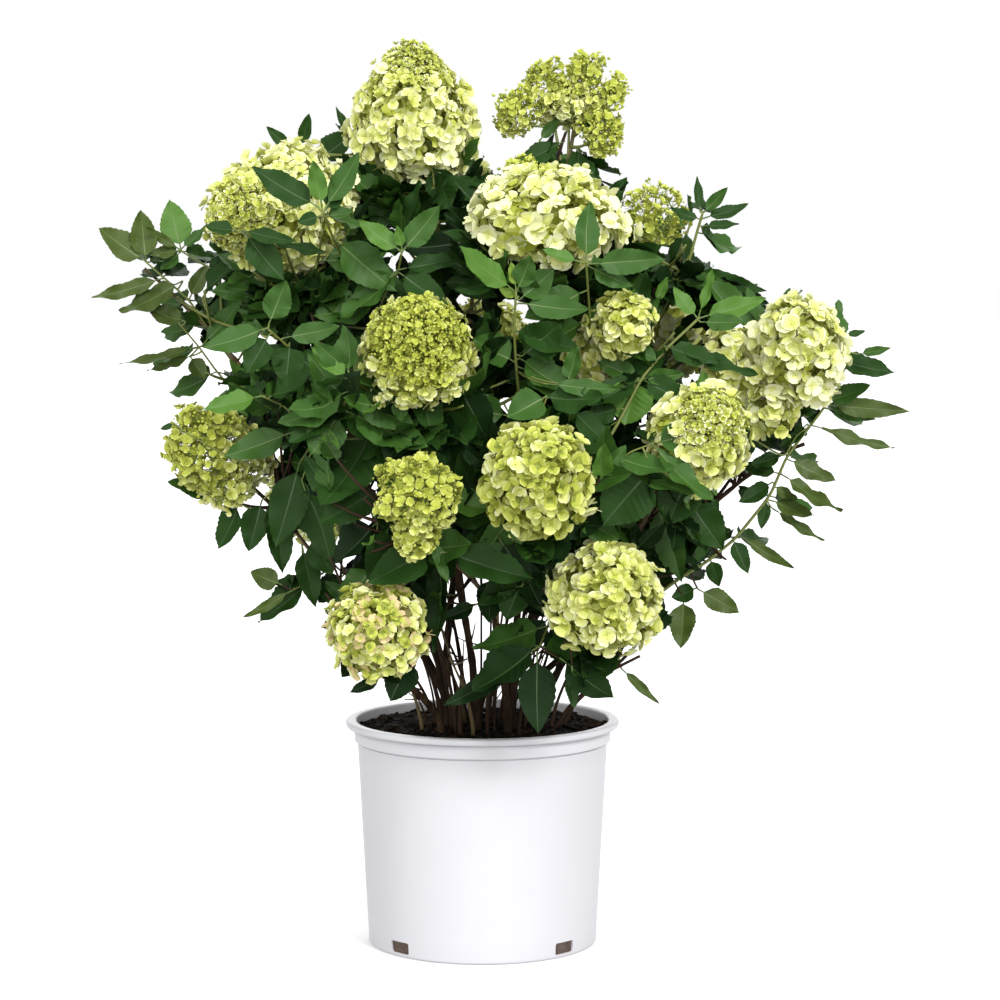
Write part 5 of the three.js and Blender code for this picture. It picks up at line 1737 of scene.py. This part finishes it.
def bloom(pile, panicle, seed):
    """One panicle: florets over its surface, a second layer below them, a tint darker as painted shade, and
    buds towards its tip.
    """
    style = STYLES[panicle.kind]
    random = np.random.default_rng(seed)
    if "cluster" in style:
        open_bloom(pile, panicle, style, random)
        return
    area = math.pi * panicle.width * panicle.length
    branches = max(9, int(area / BRANCH_AREA))
    tips, _ = egg(panicle, *spread_over(branches), np.full(branches, 0.66))
    skeleton(pile, panicle, tips)
    count = int(area / style["radius"] ** 2 * FLORET_SHARE * style["density"])
    tints = np.array(style["tints"])
    for layer, (filled, low, high) in enumerate(((1.0, 0.9, 1.05), (0.7, 0.66, 0.84))):
        number = int(count * filled)
        up, bearing = spread_over(number)
        bearing = bearing + layer
        lumps = 0.055 * np.sin(3 * bearing + 4 * up + seed) + 0.045 * np.sin(5 * bearing - 7 * up + 2 * seed)
        reach = random.uniform(low, high, number) + lumps
        at, facing = egg(panicle, up, bearing + random.normal(0, 0.12, number), reach)
        at = at + random.normal(0, 2.2, at.shape)
        facing = unit(facing + random.normal(0, 0.42, facing.shape) + UP * 0.15)
        keep = up + random.normal(0, 0.12, number) < style["buds_from"]
        at, facing, up = at[keep], facing[keep], up[keep]
        number = len(at)
        share = (up + 1) / 2
        radius = style["radius"] * random.uniform(0.72, 1.15, number) * np.clip(1.15 - 0.35 * share, 0.6, 1.2)
        level = np.clip((share * 4 + random.normal(0, 0.9, number)).astype(int), 0, 3)
        outer = np.where(random.uniform(size=number) < style["pink"], PINK, tints[level])
        inner = np.where(outer == PINK, PALE_LIME, np.clip(outer + 1, CREAM, GREEN))
        # Painted shade: the second layer, deeper in the head, takes the next darker tint with lime middles.
        if layer:
            outer = np.clip(np.where(outer == PINK, CREAM, outer) + 1, 0, LIME)
            inner = np.full(number, LIME)
        florets(
            pile, at, facing, radius, random.uniform(0.1, 0.55, number), inner, outer, random,
            INNER_SEPAL if layer else OUTER_SEPAL, 0.6 if panicle.kind == "blush" else 0.0)
    add_buds(pile, panicle, style, random, area)


def open_bloom(pile, panicle, style, random):
    """An airy panicle: clusters of small florets and buds at the ends of its branches, with sky between."""
    cluster = style["cluster"]
    area = math.pi * panicle.width * panicle.length
    count = max(6, int(area / (cluster * cluster * CLUSTER_SPREAD)))
    up, bearing = spread_over(count)
    hubs, ways = egg(panicle, up, bearing, random.uniform(0.6, 0.8, count))
    hubs = hubs + random.normal(0, 2.5, hubs.shape)
    skeleton(pile, panicle, hubs)
    tints = np.array(style["tints"])
    number = CLUSTER_SIZES.get(panicle.kind, CLUSTER_SIZE)
    for i in range(count):
        turn = random.uniform(0, ANY_TURN) + np.arange(number) * GOLDEN_ANGLE
        lean = np.arccos(1 - 1.25 * (np.arange(number) + 0.5) / number)
        side = square_to(np.array((0.37, 0.2, 0.9)), ways[i])
        out = leaning(ways[i], side, np.cross(ways[i], side), lean, turn)
        at = hubs[i] + out * (cluster * random.uniform(0.72, 1.02, number))[:, None]
        thin_tubes(pile, np.repeat(hubs[i][None], number, axis=0), at, 0.4, STALK)
        opened = random.uniform(size=number) < lerp(*style["ripe"], (up[i] + 1) / 2)
        level = int(np.clip((up[i] + 1) * 2 + random.normal(0, 0.5), 0, 3))
        some = int(opened.sum())
        florets(
            pile, at[opened], unit(out[opened] + random.normal(0, 0.3, (some, 3))),
            style["radius"] * random.uniform(0.75, 1.15, some), random.uniform(0.15, 0.7, some),
            np.full(some, LIME), np.full(some, tints[level]), random, OUTER_SEPAL)
        closed = ~opened
        near = np.repeat(at[closed], 3, axis=0)
        near = near + random.normal(0, 2.6, near.shape)
        facing = np.repeat(out[closed], 3, axis=0)
        tint = np.where(random.uniform(size=len(near)) < 0.6, BUD_YELLOW, BUD_GREEN)
        buds(pile, near, facing, random.uniform(1.3, 2.3, len(near)), tint)


def add_buds(pile, panicle, style, random, area):
    """Closed buds and half-open florets, crowded over the tip of a panicle, with their stalks."""
    if style["buds_from"] > 1:
        return
    count = int(area / (BACK_BUD_AREA if panicle.mass.startswith("back") else BUD_AREA))
    up, bearing = spread_over(count)
    keep = up + random.normal(0, 0.1, count) > style["buds_from"] - 0.12
    up, bearing = up[keep], bearing[keep]
    number = len(up)
    reach = random.uniform(0.82, 1.03, number)
    at, facing = egg(panicle, up, bearing + random.normal(0, 0.08, number), reach)
    at = at + random.normal(0, 1.4, at.shape)
    facing = unit(facing + random.normal(0, 0.3, facing.shape))
    pale = panicle.kind in ("cone", "broad_cone", "dome")
    opened = random.uniform(size=number) < np.clip((0.95 if pale else 0.62) - 0.35 * up, 0.2, 0.85)
    tint = np.where(random.uniform(size=number) < (0.85 if pale else 0.6), BUD_YELLOW, BUD_GREEN)
    buds(pile, at[~opened], facing[~opened], random.uniform(0.9, 1.8, (~opened).sum()), tint[~opened])
    small = opened.sum()
    light, lightest = (PALE_LIME, WHITE) if pale else (LIME, PALE_LIME)
    radius = random.uniform(2.3, 4.6, small)
    cup = random.uniform(0.3, 0.9, small)
    outer = np.where(random.uniform(size=small) < 0.4, lightest, light)
    florets(
        pile, at[opened], facing[opened], radius, cup, np.full(small, LIME), outer, random, INNER_SEPAL)
    some = random.uniform(size=number) < 0.3
    reach = random.uniform(7, 13, some.sum())[:, None]
    thin_tubes(pile, at[some] - facing[some] * reach, at[some], 0.35, STALK)


# The crown in its parts

LEAF_SEED = 100
SHOWN_SEED = 99
FLOWER_SEED = 300


def add_twigs(pile, twigs, leaves):
    """The twigs of a mass. Those that bear neither a leaf nor a flower are left out."""
    bearing = {leaf["twig"] for leaf in leaves}
    for i, twig in enumerate(twigs):
        curve = twig["curve"]
        if i and i not in bearing and not twig["flower"]:
            continue
        is_low = curve[0][2] < LOW_TWIGS
        radii = MAIN_RADIUS if i == 0 else TWIG_RADIUS
        rows = max(6, int(curve_length(curve) / 9))
        shares = np.linspace(0, 1, rows)
        swell = 1 + 0.25 * np.cos(shares * rows * 2.1) ** 8
        tint = LOW_BROWN if is_low else SIDE_GREEN if i else MAIN_TAN
        add_tube(pile, bezier(curve, shares), lerp(radii[0], radii[1], shares) * swell, 6, tint)


def smooth_way(points):
    """A way through points, closer spaced and with its corners rounded."""
    steps = np.linspace(0, len(points) - 1, 5 * len(points))
    smooth = np.stack([np.interp(steps, np.arange(len(points)), points[:, i]) for i in range(3)], axis=1)
    smooth[1:-1] = (smooth[:-2] + 2 * smooth[1:-1] + smooth[2:]) / 4
    return smooth


def seen_twigs(pile):
    """The twigs that the photo shows singly, led back to the nearest limb unless they are bare. Returns the
    places that they pass, and the leaves at their nodes."""
    leaves, passed = [], []
    for number, (places, depths, radius) in enumerate(SEEN_TWIGS.values()):
        depths = np.linspace(*depths, len(places))
        points = np.array([seen(*place, depth) for place, depth in zip(places, depths)])
        if radius < BARE_TWIG:
            nearest = LIMBS[np.argmin(np.linalg.norm(LIMBS - points[-1], axis=1))]
            points = np.concatenate((points, [nearest]))
        way = smooth_way(points)
        passed.append(way)
        thickness = lerp(radius * 0.75, radius * 1.15, np.linspace(0, 1, len(way)))
        add_tube(pile, way, thickness, 6, SIDE_GREEN if radius < BARE_TWIG else LOW_BROWN)
        if radius < BARE_TWIG:
            leaves += node_leaves(points, number, depths[0] > OPEN_SHOOT_DEPTH)
    return np.concatenate(passed), leaves


def seen_leaves(pile, passed, grown):
    """The leaves that the photo shows singly, told as the crown's own leaves are. Each takes the depth of a
    shown twig close by, and its stalk leads to that twig, or else to the nearest twig or limb of any kind."""
    leaves = []
    twig_across, twig_down = frame_places(passed)
    every = np.concatenate((LIMBS, passed, grown))
    for i, (start, tip, depth, width, tint) in enumerate(shown_leaves()):
        apart = np.hypot(twig_across - start[0], twig_down - start[1])
        nearest = passed[np.argmin(apart)]
        close = apart.min() < STALK_REACH
        root = seen(*start, nearest[1] if close else depth)
        if not close:
            nearest = every[np.argmin(np.linalg.norm(every - root, axis=1))]
        if np.linalg.norm(nearest - root) > 2:
            middle = lerp(root, nearest, 0.5) - UP * TWIG_BOW * np.linalg.norm(nearest - root) * 0.6
            stalk = bezier((root, middle, nearest), np.linspace(0, 1, 6))
            stalk_tint = LOW_BROWN if root[2] < SHADED_LOW_LEAVES else SIDE_GREEN
            add_tube(pile, stalk, np.linspace(0.8, 1.1, 6), 5, stalk_tint)
        reach = np.linalg.norm(tip - start)
        end = seen(*tip, root[1] + reach * (0.75 * chance(i, 41) - 0.5))
        along = unit(end - root)
        leaves.append({
            "root": root, "along": along, "face": square_to(UP * 0.45 - np.array((0, 1.0, 0)), along),
            "length": np.linalg.norm(end - root) * 1.04, "young": False, "tip": end, "tint": tint,
            "width": width,
        })
    return leaves


def hides_flower(point):
    """True if a leaf there would show in front of a panicle, seen from the camera."""
    across, down = frame_places(np.concatenate((point[None], PANICLE_AT)))
    apart = np.hypot(across[1:] - across[0], down[1:] - down[0])
    return ((apart < PANICLE_SIZE[:, 0]) & (PANICLE_AT[:, 1] > point[1])).any()


def node_leaves(points, number, is_open):
    """Leaves that a shown twig bears besides those of the table: at its tip some that point away, and at
    each node lower down a pair. On a shoot that stands in the open they all point away from the camera."""
    leaves = []
    for i, root in enumerate(points[:-2]):
        for sign in (1, -1):
            draw = chance(number, i, sign + 5)
            if i == 0 or is_open:
                way = (0.9 * sign * draw, 0.8, 0.4 - 0.8 * draw)
            else:
                way = (sign, 0.7 * (draw - 0.6), -0.25 - 0.6 * chance(number, i, sign + 9))
            length = NODE_LEAF * (0.75 + 0.45 * draw) * (0.7 if i == 0 else 1)
            along = unit(np.array(way))
            if hides_flower(root + along * length * 0.6):
                continue
            leaves.append({
                "root": root, "along": along, "face": square_to(UP * 0.6 + np.array((0, -0.8, 0)), along),
                "length": length, "young": i == 0, "tip": root, "tint": (DARK, MID)[int(2 * draw)],
                "width": length * 0.42,
            })
    return leaves


def grow_crown():
    """The pieces of each part of the crown. What shows singly goes with the front's lowest part, when the
    twigs that its stalks lead to have grown."""
    grown = []
    for part, names in CROWN_PARTS.items():
        leaf_pile, twig_pile, flower_pile = Pile(), Pile(), Pile()
        for name in names:
            mass = MASS_NAMES.index(name)
            twigs, leaves = grow_mass(name)
            add_twigs(twig_pile, twigs, leaves)
            grown += [bezier(twig["curve"], np.linspace(0, 1, 13)) for twig in twigs]
            add_leaves(leaf_pile, leaves, LEAF_SEED + mass)
            for i, panicle in enumerate(PANICLES):
                if panicle.mass == name:
                    bloom(flower_pile, panicle, FLOWER_SEED + i)
        if part == "front_low":
            passed, at_nodes = seen_twigs(twig_pile)
            shown = seen_leaves(twig_pile, passed, np.concatenate(grown))
            add_leaves(leaf_pile, shown + at_nodes, SHOWN_SEED)
        nodes = [f"foliage_{name}" for name in names]
        leaf_pile.piece(f"leaves_{part}", LEAF_TINTS, "leaf", nodes)
        twig_pile.piece(f"twigs_{part}", TWIG_TINTS, "young_wood", nodes)
        flower_pile.piece(f"flowers_{part}", BLOSSOM_TINTS, "blossom", nodes)


make_pot()
make_soil()
make_chips()
grow_stems()
base_shoots()
LIMBS = np.array(limb_points)
LIMB_THICKNESS = np.array(limb_radii)
grow_crown()


# The stage: a pale floor, a white studio, a soft key light, and the camera of the photo

STUDIO_LIGHT = 0.52
FLOOR_REACH = 30
FLOOR_WHITE = 0.88
FLOOR_GLOW = 0.1
VIEW_DEPTH = 100

# Each light: its power, then in degrees how wide it is, how high it stands and how far to the right
LIGHTS = {
    "key": (2.2, 22, 33, 34),
    "side": (1.0, 25, 32, -42),
    "fill": (1.2, 40, 8, 0),
    "back": (1.5, 40, 55, 175),
    "back_fill": (0.8, 40, 9, 182),
}


def make_floor():
    mesh = bpy.data.meshes.new("studio_floor")
    corners = [(FLOOR_REACH * i, FLOOR_REACH * j, 0) for i, j in ((-1, -1), (1, -1), (1, 1), (-1, 1))]
    mesh.from_pydata(corners, [], [(0, 1, 2, 3)])
    made = linked("studio_floor", mesh)
    material = plain_material("studio_white", (FLOOR_WHITE, FLOOR_WHITE, FLOOR_WHITE, 1), 0.9, 0)
    shader = material.node_tree.nodes["Principled BSDF"]
    shader.inputs["Emission Color"].default_value = (1, 1, 1, 1)
    shader.inputs["Emission Strength"].default_value = FLOOR_GLOW
    mesh.materials.append(material)
    made.visible_diffuse = False


def make_light(name, power, wide, height, bearing):
    """A wide soft light from far away, where 0 degrees to the right is the front."""
    data = bpy.data.lights.new(name, "SUN")
    data.energy = power
    data.angle = math.radians(wide)
    linked(name, data).rotation_euler = (math.radians(90 - height), 0, math.radians(bearing))


def make_world():
    """A white studio: pure white to look at, and dimmer as a light, so that the key light gives form."""
    world = bpy.data.worlds.new("studio")
    bpy.context.scene.world = world
    world.use_nodes = True
    nodes, links = world.node_tree.nodes, world.node_tree.links
    lit = nodes["Background"]
    lit.inputs["Color"].default_value = (1, 1, 1, 1)
    lit.inputs["Strength"].default_value = STUDIO_LIGHT
    seen_white = nodes.new("ShaderNodeBackground")
    seen_white.inputs["Color"].default_value = (1, 1, 1, 1)
    rays = nodes.new("ShaderNodeLightPath")
    mix = nodes.new("ShaderNodeMixShader")
    links.new(rays.outputs["Is Camera Ray"], mix.inputs["Fac"])
    links.new(lit.outputs["Background"], mix.inputs[1])
    links.new(seen_white.outputs["Background"], mix.inputs[2])
    links.new(mix.outputs["Shader"], nodes["World Output"].inputs["Surface"])


def make_camera():
    data = bpy.data.cameras.new("photo_camera")
    data.sensor_width = SENSOR_WIDTH
    data.lens = FOCAL_PIXELS * SENSOR_WIDTH / FRAME_WIDTH
    data.clip_end = VIEW_DEPTH
    camera = linked("photo_camera", data)
    camera.location = CAMERA_AT * MM
    camera.rotation_euler = (math.radians(90) - CAMERA_DOWN, 0, 0)
    bpy.context.scene.camera = camera


make_floor()
make_world()
for light_name, light_numbers in LIGHTS.items():
    make_light(light_name, *light_numbers)
make_camera()
bpy.context.scene.view_settings.view_transform = "Standard"
bpy.context.scene.view_settings.look = "None"
